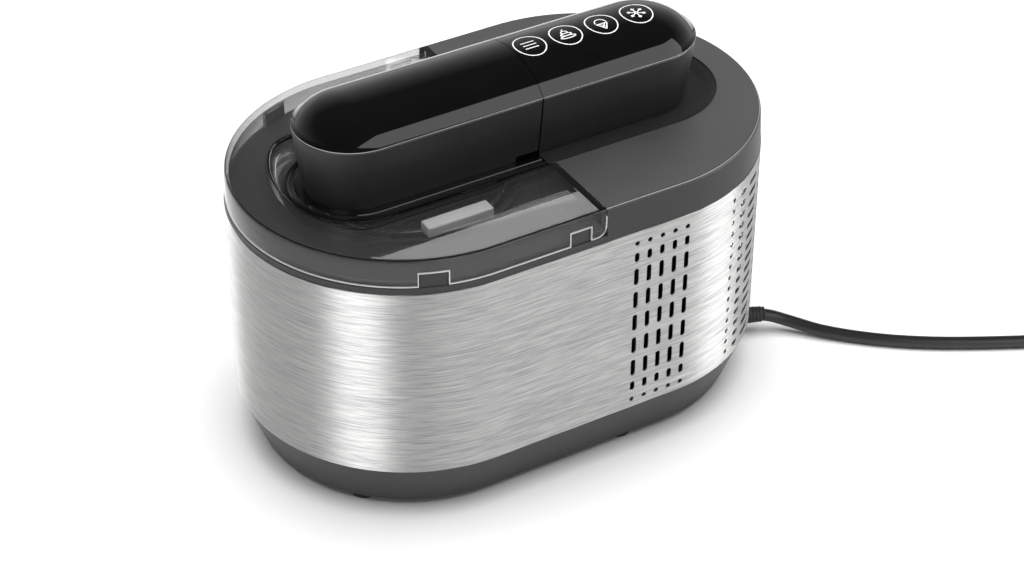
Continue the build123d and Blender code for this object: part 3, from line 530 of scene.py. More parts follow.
def shown(name, mesh, material, sharp=35.0, bevel=0.0):
    """Link a mesh as an object with its finish, shaded smooth between its sharp edges."""
    obj = bpy.data.objects.new(name, mesh)
    bpy.context.scene.collection.objects.link(obj)
    mesh.materials.clear()
    mesh.materials.append(material)
    mesh.shade_smooth()
    mesh.set_sharp_from_angle(angle=radians(sharp))
    if bevel:
        edge = obj.modifiers.new("edge", "BEVEL")
        edge.width, edge.segments, edge.limit_method = bevel * MM, 3, "ANGLE"
        edge.angle_limit = radians(40)
        baked(obj)
        obj.data.shade_smooth()
        obj.data.set_sharp_from_angle(angle=radians(sharp))
    return obj


def baked(obj):
    """Turn an object's modifiers into its plain mesh."""
    bpy.context.view_layer.update()
    graph = bpy.context.evaluated_depsgraph_get()
    mesh = bpy.data.meshes.new_from_object(obj.evaluated_get(graph), depsgraph=graph)
    obj.modifiers.clear()
    obj.data = mesh
    return obj


def block(low, high):
    """A box between two corners, as a shape."""
    xs, ys, zs = zip(low, high)
    points = [(x, y, z) for x in xs for y in ys for z in zs]
    faces = [(0, 1, 3, 2), (4, 6, 7, 5), (0, 4, 5, 1), (2, 3, 7, 6), (0, 2, 6, 4), (1, 5, 7, 3)]
    return np.array(points), faces


def turned(shape, angle, about=(0, 0)):
    """A shape turned about an upright axis, in degrees."""
    points, faces = shape
    out = np.array(points, float)
    a = radians(angle)
    x, y = out[:, 0] - about[0], out[:, 1] - about[1]
    out[:, 0] = about[0] + x * cos(a) - y * sin(a)
    out[:, 1] = about[1] + x * sin(a) + y * cos(a)
    return out, faces


def along(shape, origin, direction):
    """A shape made up the Z axis, laid along a direction from a point."""
    points, faces = shape
    matrix = Vector(direction).to_track_quat("Z", "Y").to_matrix().to_4x4()
    matrix.translation = Vector(origin)
    return np.array([matrix @ Vector([float(v) for v in p]) for p in points]), faces


def settle(obj, body, slot, *nodes):
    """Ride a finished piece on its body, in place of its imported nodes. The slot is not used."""
    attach(obj, body)
    if nodes:
        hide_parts(*nodes)
    return obj


# ---- geometry node trees ------------------------------------------------------------------------
class Tree:
    """A geometry node tree with named inputs, ending in Realize Instances and Set Material."""

    def __init__(self, name, inputs):
        self.tree = bpy.data.node_groups.new(name, "GeometryNodeTree")
        self.tree.is_modifier = True
        face = self.tree.interface
        face.new_socket("Geometry", in_out="INPUT", socket_type="NodeSocketGeometry")
        for label, kind, default in inputs:
            socket = face.new_socket(label, in_out="INPUT", socket_type=f"NodeSocket{kind}")
            if default is not None:
                socket.default_value = default
        face.new_socket("Geometry", in_out="OUTPUT", socket_type="NodeSocketGeometry")
        self.source = self.tree.nodes.new("NodeGroupInput")
        self.end = self.tree.nodes.new("NodeGroupOutput")

    def given(self, label):
        """One of the tree's own inputs."""
        return self.source.outputs[label]

    def add(self, kind, **values):
        node = self.tree.nodes.new(kind)
        for key, value in values.items():
            setattr(node, key, value)
        return node

    def put(self, value, target):
        """Link a socket to an input, or set the input to a plain value."""
        if isinstance(value, bpy.types.NodeSocket):
            self.tree.links.new(value, target)
        else:
            target.default_value = value

    def feed(self, node, **sockets):
        """Set or link inputs by name; an underscore stands for a space."""
        for key, value in sockets.items():
            self.put(value, node.inputs[key.replace("_", " ")])
        return node

    def math(self, operation, *values):
        node = self.add("ShaderNodeMath", operation=operation)
        for value, target in zip(values, node.inputs):
            self.put(value, target)
        return node.outputs[0]

    def either(self, switch, when_false, when_true):
        """One of two vectors, picked by a switch."""
        node = self.add("GeometryNodeSwitch", input_type="VECTOR")
        for value, label in ((switch, "Switch"), (when_false, "False"), (when_true, "True")):
            self.put(value, node.inputs[label])
        return node.outputs[0]

    def vector(self, x, y, z):
        node = self.add("ShaderNodeCombineXYZ")
        return self.feed(node, X=x, Y=y, Z=z).outputs[0]

    def finish(self, geometry, material):
        whole = self.feed(self.add("GeometryNodeRealizeInstances"), Geometry=geometry).outputs[0]
        painted = self.add("GeometryNodeSetMaterial")
        self.feed(painted, Geometry=whole, Material=material)
        self.tree.links.new(painted.outputs[0], self.end.inputs[0])
        return self.tree


def apply_tree(obj, tree, **values):
    """Add a tree to an object and set its inputs by their identifiers."""
    modifier = obj.modifiers.new(tree.name, "NODES")
    modifier.node_group = tree
    named = {s.name: s.identifier for s in tree.interface.items_tree if s.in_out == "INPUT"}
    for key, value in values.items():
        modifier[named[key.replace("_", " ")]] = value
    return modifier


def vent_tree():
    """Cuts a field of round-ended slots through a sheet, flat or round an upright end."""
    t = Tree("vent field", [
        ("Columns", "Int", 5), ("Rows", "Int", 5),
        ("Column Step", "Float", 0.008), ("Row Step", "Float", 0.015),
        ("Slot Length", "Float", 0.011), ("Slot Width", "Float", 0.003), ("Slot Turn", "Float", 0.0),
        ("Middle X", "Float", 0.0), ("Middle Z", "Float", 0.09),
        ("Radius", "Float", 0.1), ("Side", "Float", -1.0),
        ("Round End", "Bool", False), ("Material", "Material", None),
    ])
    cutter_depth, cutter_sides = 0.008, 18
    given = t.given
    last_column = t.math("SUBTRACT", given("Columns"), 1.0)
    last_row = t.math("SUBTRACT", given("Rows"), 1.0)
    grid = t.feed(
        t.add("GeometryNodeMeshGrid"),
        Size_X=t.math("MULTIPLY", last_column, given("Column Step")),
        Size_Y=t.math("MULTIPLY", last_row, given("Row Step")),
        Vertices_X=given("Columns"), Vertices_Y=given("Rows"),
    )
    spot = t.add("ShaderNodeSeparateXYZ")
    t.feed(spot, Vector=t.add("GeometryNodeInputPosition").outputs[0])
    u, v = spot.outputs[0], spot.outputs[1]
    height = t.math("ADD", v, given("Middle Z"))
    flat = t.vector(
        t.math("ADD", u, given("Middle X")), t.math("MULTIPLY", given("Side"), given("Radius")), height
    )
    bent = t.vector(
        t.math("MULTIPLY_ADD", t.math("COSINE", u), given("Radius"), given("Middle X")),
        t.math("MULTIPLY", t.math("SINE", u), given("Radius")),
        height,
    )
    round_end = given("Round End")
    place = t.either(round_end, flat, bent)
    turn = t.either(round_end, (0, 0, 0), t.vector(0.0, 0.0, t.math("SUBTRACT", u, pi / 2)))
    keep_turn = t.add("GeometryNodeCaptureAttribute", domain="POINT")
    keep_turn.capture_items.new("VECTOR", "Turn")
    t.feed(keep_turn, Geometry=grid.outputs["Mesh"], Turn=turn)
    placed = t.add("GeometryNodeSetPosition")
    t.feed(placed, Geometry=keep_turn.outputs["Geometry"], Position=place)
    half = t.math("MULTIPLY", t.math("SUBTRACT", given("Slot Length"), given("Slot Width")), 0.5)
    cylinder = t.feed(
        t.add("GeometryNodeMeshCylinder"), Vertices=cutter_sides,
        Radius=t.math("MULTIPLY", given("Slot Width"), 0.5), Depth=cutter_depth,
    )
    ends = t.add("GeometryNodeJoinGeometry")
    for sign in (-1, 1):
        moved = t.feed(
            t.add("GeometryNodeTransform"), Geometry=cylinder.outputs["Mesh"], Rotation=(pi / 2, 0, 0),
            Translation=t.vector(t.math("MULTIPLY", half, float(sign)), 0.0, 0.0),
        )
        t.tree.links.new(moved.outputs[0], ends.inputs[0])
    cutter = t.feed(t.add("GeometryNodeConvexHull"), Geometry=ends.outputs[0])
    turned_cutter = t.add("GeometryNodeTransform")
    t.feed(turned_cutter, Geometry=cutter.outputs[0], Rotation=t.vector(0.0, given("Slot Turn"), 0.0))
    spread = t.feed(
        t.add("GeometryNodeInstanceOnPoints"), Points=placed.outputs[0],
        Instance=turned_cutter.outputs[0], Rotation=keep_turn.outputs["Turn"],
    )
    cutters = t.feed(t.add("GeometryNodeRealizeInstances"), Geometry=spread.outputs[0])
    cut = t.add("GeometryNodeMeshBoolean", operation="DIFFERENCE", solver="EXACT")
    t.feed(cut, Mesh_1=given("Geometry"), Mesh_2=cutters.outputs[0])
    return t.finish(cut.outputs["Mesh"], given("Material"))


def spread_tree():
    """Copies one finished part onto each point of a mesh, turned by the point's own angle."""
    t = Tree("repeated part", [("Part", "Object", None), ("Material", "Material", None)])
    part = t.add("GeometryNodeObjectInfo", transform_space="ORIGINAL")
    t.feed(part, Object=t.given("Part"))
    own = t.feed(t.add("GeometryNodeInputNamedAttribute", data_type="FLOAT"), Name="turn")
    spread = t.feed(
        t.add("GeometryNodeInstanceOnPoints"), Points=t.given("Geometry"),
        Instance=part.outputs["Geometry"], Rotation=t.vector(0.0, 0.0, own.outputs["Attribute"]),
    )
    return t.finish(spread.outputs[0], t.given("Material"))


def repeated(name, part, places, material):
    """Plain mesh object with a part copied to places of (x, y, z, turn in degrees)."""
    mesh = bpy.data.meshes.new(name)
    mesh.from_pydata([(x * MM, y * MM, z * MM) for x, y, z, _ in places], [], [])
    turns = mesh.attributes.new("turn", "FLOAT", "POINT")
    turns.data.foreach_set("value", [radians(t) for *_, t in places])
    holder = bpy.data.objects.new(name, mesh)
    bpy.context.scene.collection.objects.link(holder)
    tree = bpy.data.node_groups.get("repeated part") or spread_tree()
    apply_tree(holder, tree, Part=part, Material=material)
    baked(holder)
    bpy.data.objects.remove(part)
    holder.data.materials.clear()
    holder.data.materials.append(material)
    return holder


# ---- camera, cord and stage ---------------------------------------------------------------------
class MACHINE_OT_camera(bpy.types.Operator):
    """Set the camera above the machine's left front"""

    bl_idname = "machine.camera"
    bl_label = "Camera"

    def execute(self, context):
        data = bpy.data.cameras.new("camera")
        data.lens, data.sensor_width = 93.09, 36.0
        data.shift_x, data.shift_y = 0.0183, 0.0152
        data.clip_start, data.clip_end = 0.05, 50.0
        camera = bpy.data.objects.new("camera", data)
        context.scene.collection.objects.link(camera)
        yaw, pitch = radians(59.5856), radians(-36.2842)
        ahead = Vector((cos(yaw) * cos(pitch), sin(yaw) * cos(pitch), sin(pitch)))
        camera.location = (-0.62963, -1.06884, 0.96329)
        camera.rotation_mode = "QUATERNION"
        camera.rotation_quaternion = ahead.to_track_quat("-Z", "Y")
        context.scene.camera = camera
        return {"FINISHED"}


GLAND_TURN = radians(-22.0)
GLAND_AIM = Vector((cos(GLAND_TURN), sin(GLAND_TURN), 0.0))
GLAND_TIP, GLAND_LENGTH, GLAND_Z = 113.0, 29.0, 11.0    # tip measured from the right end's axis
CORD_REST_Z = 3.9                                       # the cord's middle when it lies on the floor
ROUTE = [
    (162.77, -42.33, 11.0),
    (174.0, -50.0, 7.0),
    (191.0, -71.0, CORD_REST_Z),
    (228.0, -104.0, CORD_REST_Z),
    (283.0, -135.0, CORD_REST_Z),
    (340.0, -162.0, CORD_REST_Z),
]
COIL_CENTRE = (362.0, -126.0)
COIL_R, COIL_PITCH, COIL_TOP_Z = 44.0, 7.7, 11.4
COIL_POINTS_PER_TURN = 16
# Degrees: where the coil is entered, its whole wind, its inward wind, and its climb to the upper layer.
COIL_ENTRY, COIL_TURN, COIL_INWARD, CLIMB_START, CLIMB_RUN = -114.0, 1194.0, 720.0, 630.0, 80.0
COIL_PULL = 0.987                                       # the curve's radius over its points' radius


def coil_points():
    """Put-away length: two turns inwards on the floor, then outwards on top of them."""
    step = 360.0 / COIL_POINTS_PER_TURN
    points = []
    for k in range(1, int(COIL_TURN / step) + 1):
        wound = k * step
        radius = COIL_R + COIL_PITCH - COIL_PITCH * wound / 360
        if wound > COIL_INWARD:
            radius = COIL_R - COIL_PITCH + COIL_PITCH * (wound - COIL_INWARD) / 360
        climb = min(1.0, max(0.0, (wound - CLIMB_START) / CLIMB_RUN))
        turn, reach = radians(COIL_ENTRY + wound), radius / COIL_PULL
        height = CORD_REST_Z + (COIL_TOP_Z - CORD_REST_Z) * climb * climb * (3 - 2 * climb)
        x, y = COIL_CENTRE[0] + reach * cos(turn), COIL_CENTRE[1] + reach * sin(turn)
        points.append((x, y, height))
    return points


class MACHINE_OT_cord(bpy.types.Operator):
    """Make the mains cord with its strain relief and plug"""

    bl_idname = "machine.cord"
    bl_label = "Mains cord"

    def execute(self, context):
        plug_low, plug_high = box_mm("plug")
        plug_x, plug_z = (plug_low.x + plug_high.x) / 2, (plug_low.z + plug_high.z) / 2
        tip_x = COIL_CENTRE[0] + COIL_R
        tail = [(tip_x + 1.6, -112, COIL_TOP_Z), (tip_x + 0.6, -98, 11.2), (plug_x, -84, plug_z + 0.4),
                (plug_x, -76, plug_z), (plug_x, -66, plug_z)]
        inside_gland = 8.0
        start = Vector(ROUTE[0]) - inside_gland * GLAND_AIM
        points = [start] + ROUTE + coil_points() + tail
        curve = bpy.data.curves.new("mains_cord", "CURVE")
        curve.dimensions = "3D"
        spline = curve.splines.new("NURBS")
        spline.points.add(len(points) - 1)
        for point, co in zip(spline.points, points):
            point.co = (*[v * MM for v in co], 1)
        spline.order_u = 3
        spline.use_endpoint_u = True
        spline.resolution_u = 8
        curve.bevel_depth = CORD_R * MM
        curve.bevel_resolution = 5
        curve.use_fill_caps = True
        cord = bpy.data.objects.new("mains_cord", curve)
        context.scene.collection.objects.link(cord)
        curve.materials.append(finish("cord_black"))
        settle(cord, "root", "cord_black", "cord_tube", "cord_coil", "cord_tail")
        gland = self.strain_relief()
        plug = self.plug(plug_x, plug_low.y, plug_z)
        return {"FINISHED"}

    def strain_relief(self):
        """Tapered, ribbed sleeve where the cord leaves the tray."""
        ribs, first, pitch, groove = 7, 13.4, 2.1, 0.6
        flange = [(0.0, 0.0), (7.2, 0.0), (7.2, 2.6), (5.4, 3.0), (5.3, first - 1.0)]
        section = list(flange)
        for k in range(ribs):
            z, r = first + k * pitch, 5.15 - 0.09 * k
            section += [(r, z - 0.5), (r + 0.1, z), (r + 0.1, z + 0.7), (r, z + 1.1)]
            section += [(r - groove, z + 1.2), (r - groove, z + 1.6)]
        tip = GLAND_LENGTH
        section += [(4.5, tip - 0.6), (4.2, tip), (3.5, tip), (0.0, tip)]
        shape = skin(rows_on(ring(0, 0, 40), section), True, False)
        start = Vector((BODY_SPAN, 0.0, GLAND_Z)) + (GLAND_TIP - GLAND_LENGTH) * GLAND_AIM
        gland = piece("strain_relief", [along(shape, start, GLAND_AIM)], finish("rubber"), 50)
        return settle(gland, "root", "rubber", "cord_gland")

    def plug(self, x, y, z):
        """Moulded plug: oval body with finger ridges, drawn in to a neck round the cord."""
        rows = []
        neck_end, round_power, body_power = 12, 2.0, 3.2
        # distance from the cord's end, half width, half height
        outline = [(0, 4.4, 4.4), (0.4, 4.9, 4.9), (3, 5.0, 5.0), (3.4, 4.6, 4.6), (4.6, 4.6, 4.6),
                   (5, 5.3, 5.3), (7, 5.4, 5.4), (7.4, 4.9, 4.9), (8.6, 4.9, 4.9), (9, 5.7, 5.7),
                   (11.5, 6.0, 5.9), (14, 7.6, 6.6), (16.5, 10.2, 7.6), (19, 11.5, 8.1), (21, 11.0, 8.1),
                   (22, 11.6, 8.25), (23.2, 11.1, 8.2), (24.4, 11.7, 8.3), (25.6, 11.2, 8.25),
                   (26.8, 11.8, 8.4), (29, 12.0, 8.4), (33.6, 12.0, 8.4), (34.6, 11.7, 8.2),
                   (35, 11.0, 7.6)]
        turns = np.linspace(0, 2 * pi, 48, endpoint=False)
        for distance, half_x, half_z in outline:
            square = round_power if distance < neck_end else body_power
            cx = np.sign(np.cos(turns)) * np.abs(np.cos(turns)) ** (2 / square) * half_x
            cz = np.sign(np.sin(turns)) * np.abs(np.sin(turns)) ** (2 / square) * half_z
            rows.append(np.stack([x + cx, np.full_like(cx, y + distance), z + cz], axis=1))
        plug = piece("mains_plug", [skin(rows, True, False, True)], finish("cord_black"), 50)
        return settle(plug, "root", "cord_black", "plug")


class MACHINE_OT_stage(bpy.types.Operator):
    """Lay the pale floor and hang the soft studio lights"""

    bl_idname = "machine.stage"
    bl_label = "Floor and light"

    def execute(self, context):
        scene = context.scene
        scene.view_settings.view_transform = "Standard"
        mesh = bpy.data.meshes.new("floor")
        reach = 9.0
        corners = [(x * reach, y * reach, 0) for x, y in ((-1, -1), (1, -1), (1, 1), (-1, 1))]
        mesh.from_pydata(corners, [], [(0, 1, 2, 3)])
        floor = bpy.data.objects.new("floor", mesh)
        scene.collection.objects.link(floor)
        s = Shader("pale floor")
        tone = s.noise((2.0,) * 3, 2.0)
        s.join(s.shaded(tone, (0.86, 0.86, 0.86), (0.88, 0.88, 0.88)), s.main.inputs["Base Color"])
        s.set(Roughness=0.9, Specular_IOR_Level=0.0)
        mesh.materials.append(s.material)
        self.world(scene)
        scene.cycles.transparent_max_bounces = 24
        soft = self.softbox(scene, "overhead softbox", (0.1, 0.1, 2.4), (3.0, 3.0), 125.0)
        soft.visible_glossy = False
        everything = []
        body = ["steel_skin", "deck_moulding", "tapered_base", "left_housing", "right_housing"]
        # these are seen in reflections only: name, place, size, power in watts, pieces that they reach
        for name, place, size, power, lit in (
            ("front softbox", (0.85, -1.60, 1.45), (3.4, 1.85), 41.0, everything),
            ("left softbox", (-1.27, -0.79, 0.45), (0.75, 0.9), 20.0, body),
            ("right softbox", (1.38, -0.80, 0.45), (0.75, 0.9), 18.0, body),
            ("rear softbox", (-0.70, 1.40, 0.40), (0.45, 0.8), 10.0, ["steel_skin"]),
            ("deck softbox", (0.70, 0.95, 1.05), (1.4, 0.8), 5.5, ["deck_moulding"]),
            ("lid softbox", (0.49, 0.648, 0.80), (0.42, 0.30), 2.1, ["clear_lid"]),
        ):
            lamp = self.softbox(scene, name, place, size, power)
            lamp.visible_diffuse = False
            if lit:
                lit_pieces = bpy.data.collections.new(name)
                for piece_name in lit:
                    lit_pieces.objects.link(bpy.data.objects[piece_name])
                lamp.light_linking.receiver_collection = lit_pieces
        return {"FINISHED"}

    def world(self, scene):
        """Pale round the horizon, fading to dark overhead."""
        world = bpy.data.worlds.new("studio")
        scene.world = world
        world.use_nodes = True
        nodes, links = world.node_tree.nodes, world.node_tree.links
        where = nodes.new("ShaderNodeTexCoord")
        split = nodes.new("ShaderNodeSeparateXYZ")
        ramp = nodes.new("ShaderNodeValToRGB")
        links.new(where.outputs["Generated"], split.inputs[0])
        links.new(split.outputs["Z"], ramp.inputs[0])
        links.new(ramp.outputs[0], nodes["Background"].inputs["Color"])
        stops = ramp.color_ramp.elements
        haze = stops.new(0.35)
        for stop, place, tone in ((stops[0], 0.0, 0.9), (haze, 0.35, 0.42), (stops[-1], 0.66, 0.04)):
            stop.position, stop.color = place, (tone, tone, tone, 1)
        nodes["Background"].inputs["Strength"].default_value = 1.0

    def softbox(self, scene, name, place, size, power):
        """Square-cornered lamp aimed at the middle of the body."""
        aim = Vector((0.0, 0.0, 0.12))
        light = bpy.data.lights.new(name, "AREA")
        light.shape, light.size, light.size_y, light.energy = "RECTANGLE", size[0], size[1], power
        lamp = bpy.data.objects.new(name, light)
        scene.collection.objects.link(lamp)
        lamp.location = place
        lamp.rotation_mode = "QUATERNION"
        lamp.rotation_quaternion = (aim - Vector(place)).to_track_quat("-Z", "Y")
        lamp.visible_camera = False
        return lamp


# ---- base and steel -----------------------------------------------------------------------------
class MACHINE_OT_base(bpy.types.Operator):
    """Make the tapered base tray and its rubber feet"""

    bl_idname = "machine.base"
    bl_label = "Base tray and feet"

    def execute(self, context):
        whole = stadium(BODY_SPAN, 0.0)
        foot_r, top_r = BODY_R - 10.5, BODY_R - 0.3
        low, high = TRAY_LOW.z, STEEL_LOW.z
        floor, tongue = 2.5, 5.4
        section = [(foot_r - 9, low), (foot_r - 3, low)]
        section += arc(foot_r - 3.1, low + 3, 3.0, -90, -18)
        section += [(top_r - 0.35, high - 0.9), (top_r - 0.05, high - 0.35), (top_r - 0.3, high - 0.05)]
        section += [(top_r - 1.2, high), (top_r - 1.2, high + tongue)]
        section += [(top_r - 3, high + tongue), (top_r - 3, high - 2)]
        section += [(foot_r - floor, low + floor), (foot_r - 9, low + floor)]
        shape = skin(rows_on(whole, section), True, False, True)
        # The tray takes the lighter painted copy of the body moulding, which offsets the shade on its
        # downward-facing taper.
        tray = piece("tapered_base", [shape], finish("lightened_base_moulding"))
        settle(tray, "root", "body_plastic", "base_tray")
        places = [(x, side * y, 0, 0) for x, y in ((-117, 53), (34, 79), (108, 62)) for side in (-1, 1)]
        profile = [(4.2, 1.6), (4.2, 0.5), (4.6, 0.0), (7.0, 0.0), (7.7, 0.3), (8.0, 0.9), (7.8, 3.0),
                   (2.1, 3.0), (2.1, 1.6)]
        foot = piece("foot_part", [skin(rows_on(ring(0, 0, 40), profile), True)], finish("rubber"))
        feet = repeated("feet", foot, places, finish("rubber"))
        settle(feet, "root", "rubber", "rubber_feet")
        return {"FINISHED"}


class MACHINE_OT_steel(bpy.types.Operator):
    """Wrap the brushed steel round the body and cut its vents"""

    bl_idname = "machine.steel"
    bl_label = "Steel wrap and vents"

    def execute(self, context):
        s = sizes()
        low, high = STEEL_LOW.z, STEEL_HIGH.z
        thick, hem = 0.8, 0.25
        section = [(BODY_R - thick, low), (BODY_R - hem, low), (BODY_R, low + hem), (BODY_R, high - hem),
                   (BODY_R - hem, high), (BODY_R - thick, high)]
        whole = stadium(BODY_SPAN, 0.0, bend=181, run=2)
        sharp = 30
        shape = skin(rows_on(whole, section), True)
        steel = piece("steel_skin", [shape], finish("brushed_steel"), sharp)
        tree = vent_tree()
        middle, front_x = (low + high) / 2 - 0.9, 45.7
        short_at, dot_at = 44.05, 53.3                          # distances up and down from the middle
        slot_turn, short_turn, dot_turn = 11.32, 59.6, 65.9     # degrees round the right end
        fields = []
        for side in (-1.0, 1.0):
            upright = dict(Middle_X=front_x * MM, Column_Step=s.front_column, Columns=5,
                           Slot_Turn=pi / 2, Side=side)
            fields += [
                dict(upright, Rows=5, Row_Step=s.front_row, Slot_Length=s.front_slot),
                dict(upright, Rows=2, Row_Step=2 * short_at * MM, Slot_Length=s.short_slot),
                dict(upright, Rows=2, Row_Step=2 * dot_at * MM, Slot_Length=s.slot_width),
            ]
        level = dict(Middle_X=BODY_SPAN * MM, Rows=15, Row_Step=s.end_row, Round_End=True)
        fields += [
            dict(level, Columns=10, Column_Step=radians(slot_turn), Slot_Length=s.end_slot),
            dict(level, Columns=2, Column_Step=radians(2 * short_turn), Slot_Length=s.short_slot),
            dict(level, Columns=2, Column_Step=radians(2 * dot_turn), Slot_Length=s.slot_width),
        ]
        for field in fields:
            apply_tree(steel, tree, Middle_Z=middle * MM, Radius=BODY_R * MM, Slot_Width=s.slot_width,
                       Material=finish("brushed_steel"), **field)
        baked(steel)
        steel.data.shade_smooth()
        steel.data.set_sharp_from_angle(angle=radians(sharp))
        settle(steel, "root", "brushed_steel", "steel_wrap")
        return {"FINISHED"}


# ---- deck ---------------------------------------------------------------------------------------
# Half widths in plan: the channel round the head at its top and floor, the top edge, the skirt.
MOAT_R, MOAT_FLOOR_R = 45.5, 38.5
DECK_R, SKIRT_R = 98.7, 99.7
SKIRT_BOTTOM_R = SKIRT_R - 0.35
# Notches in the lid's skirt, on both sides: one round the bend, one on the straight part.
BEND_NOTCH_TURN, BEND_NOTCH_WIDTH = 110.3, 16.0         # degrees about the bowl's axis
STRAIGHT_NOTCH_X, STRAIGHT_NOTCH_WIDTH = -6.3, 12.6


class MACHINE_OT_deck(bpy.types.Operator):
    """Make the fixed deck, the ledge round the bowl and the lid's locating lugs"""

    bl_idname = "machine.deck"
    bl_label = "Deck"

    def execute(self, context):
        shapes = [self.cap(), self.ring(), *self.ledge()] + self.lugs()
        deck = piece("deck_moulding", shapes, finish("body_plastic"), 34)
        settle(deck, "root", "body_plastic", "deck")
        outer, moat = self.tracks()
        proud = 0.04                                            # how far the painted shade lining stands off the deck
        # Painted shade: a darker copy of the deck moulding lines the channel round the head, where shade
        # falls.
        channel = arc(MOAT_R + 0.6, DECK_Z - 1.2 + proud, 1.2, 72, 38, 3)
        channel += self.trough(DECK_FLOOR_Z + proud) + [(HEAD_FOOT_R + 0.2, DECK_FLOOR_Z + proud)]
        shape = skin(rows_on(moat, channel), False, False)
        shade_lining = piece("deck_channel", [shape], finish("painted_channel_shade"), 40)
        settle(shade_lining, "root", "head_plastic")
        # Painted highlight: a thin light grey strip laid along the deck's rounded top edge.
        edge = sizes().edge_round / MM
        line = arc(DECK_R - edge, DECK_Z - edge, edge + 0.03, 52, 62, 2)
        shape = skin(rows_on(outer, line), False, False)
        sheen = piece("deck_edge_line", [shape], finish("painted_deck_rim_highlight"), 40)
        settle(sheen, "root", "body_plastic")
        return {"FINISHED"}

    def tracks(self):
        """The right half's outside and the channel round the head, both from the seam."""
        seam = SEAM_X + SEAM_GAP
        return stadium(BODY_SPAN, 0.0, 1, seam, 128, 24), stadium(HEAD_SPAN, HEAD_X, 1, seam, 128, 24)

    def trough(self, floor):
        """Section of the channel's slope and the hollow at its foot."""
        hollow = 6.0
        slope_foot = (MOAT_FLOOR_R + 3.4, floor + 1.9)
        return [slope_foot] + arc(MOAT_FLOOR_R - 1.0, floor + hollow, hollow, -52, -90, 6)

    def cap(self):
        """Fixed right half: skirt, rounded edge, flat top, sloping channel and end wall."""
        outer, moat = self.tracks()
        edge, wall = sizes().edge_round / MM, 2.5
        low, top, floor = STEEL_HIGH.z + 0.1, DECK_Z, DECK_FLOOR_Z
        rows = rows_on(outer, [(SKIRT_R - 3, low + 0.4), (SKIRT_R - 0.5, low), (SKIRT_R, low + 0.5),
                               (DECK_R + 0.1, top - edge - 0.6)])
        rows += rows_on(outer, arc(DECK_R - edge, top - edge, edge, 0, 90, 8))
        rows += rows_on(outer, [(DECK_R - edge - 1.0, top)])
        rows += rows_on(moat, [(MOAT_R + 1.6, top)] + arc(MOAT_R + 0.6, top - 1.2, 1.2, 90, 38, 4))
        rows += rows_on(moat, self.trough(floor))
        rows += rows_on(moat, [(HEAD_FOOT_R - 3, floor), (HEAD_FOOT_R - 3, floor - wall),
                               (MOAT_FLOOR_R + 2, floor - wall), (MOAT_R + 2.6, top - wall)])
        rows += rows_on(outer, [(DECK_R - 3.4, top - wall), (SKIRT_R - 3, low + 6)])
        return skin(rows, False)

    def ring(self):
        """Dark ring under the lid's skirt, on the left."""
        track = stadium(BODY_SPAN, 0.0, -1, SEAM_X + 2.5, 128, 24)
        low, top, r = STEEL_HIGH.z + 0.1, RING_Z, SKIRT_R - 0.1
        section = [(r - 3, low - 5), (r - 1.0, low - 5), (r - 1.0, low), (r - 0.4, low), (r, low + 0.4),
                   (r, top - 0.5), (r - 0.5, top), (r - 3, top)]
        return skin(rows_on(track, section), False)

    def ledge(self):
        """Inner deck round the bowl, with its collar, and the wall that closes the deck's end."""
        limit_x, edge_r = SEAM_X + 2.5, 96.4
        corner = np.degrees(np.arctan2(edge_r, limit_x - BOWL_X))
        turns = np.radians(np.sort(np.concatenate([np.linspace(-180, 178, 180), [-corner, corner]])))
        outward = np.stack([np.cos(turns), np.sin(turns)], axis=1)
        # round on the left, squared off towards the seam
        reach = np.array([
            min((limit_x - BOWL_X) / x, edge_r / max(abs(y), 1e-6)) if x > 0 else edge_r
            for x, y in outward
        ])
        about_bowl = Track([(BOWL_X, 0)] * len(turns), outward, True)
        top, collar_in, collar_out, collar_z, wall = LEDGE_Z, 62.0, 64.4, 162.3, 2.4
        rim = [(reach - wall, top - 9), (reach, top - 9), (reach, top - 0.8), (reach - 0.25, top - 0.25),
               (reach - 0.8, top)]
        collar = [(collar_out + 0.8, top), (collar_out + 0.2, top + 0.25), (collar_out, top + 0.8)]
        collar += arc(collar_out - 0.8, collar_z - 0.8, 0.8, 0, 90, 3)
        collar += arc(collar_in + 0.4, collar_z - 0.4, 0.4, 90, 180, 3)
        collar += [(collar_in, top - 2.5), (reach - wall, top - 2.5)]
        rows = rows_on(about_bowl, rim + collar)
        seam = SEAM_X + SEAM_GAP
        low, high, half, trough = LEDGE_Z - 0.6, DECK_Z - wall, 95.6, MOAT_FLOOR_R
        dip = DECK_FLOOR_Z - 0.3
        end_wall = [(-half, low), (half, low), (half, high), (trough + 4, high), (trough, dip),
                    (-trough, dip), (-trough - 4, high), (-half, high)]
        count = len(end_wall)
        points = [(x, y, z) for x in (seam, seam + wall) for y, z in end_wall]
        faces = [tuple(range(count)), tuple(reversed(range(count, 2 * count)))]
        faces += [(k, (k + 1) % count, count + (k + 1) % count, count + k) for k in range(count)]
        return [skin(rows, True), (np.array(points), faces)]

    def lugs(self):
        """Locating lugs that stand in the notches of the lid's skirt."""
        shapes = []
        inner, outer, low, high = 97.3, 98.5, RING_Z - 1, 164.2
        bend_half, straight_half = BEND_NOTCH_WIDTH / 2 - 0.8, STRAIGHT_NOTCH_WIDTH / 2 - 0.7
        for side in (-1, 1):
            points, faces = turned(block((inner, -bend_half, low), (outer, bend_half, high)),
                                   BEND_NOTCH_TURN * side)
            points[:, 0] += BOWL_X
            shapes.append((points, faces))
            near, far = sorted((side * inner, side * outer))
            shapes.append(block((STRAIGHT_NOTCH_X - straight_half, near, low),
                                (STRAIGHT_NOTCH_X + straight_half, far, high)))
        return shapes


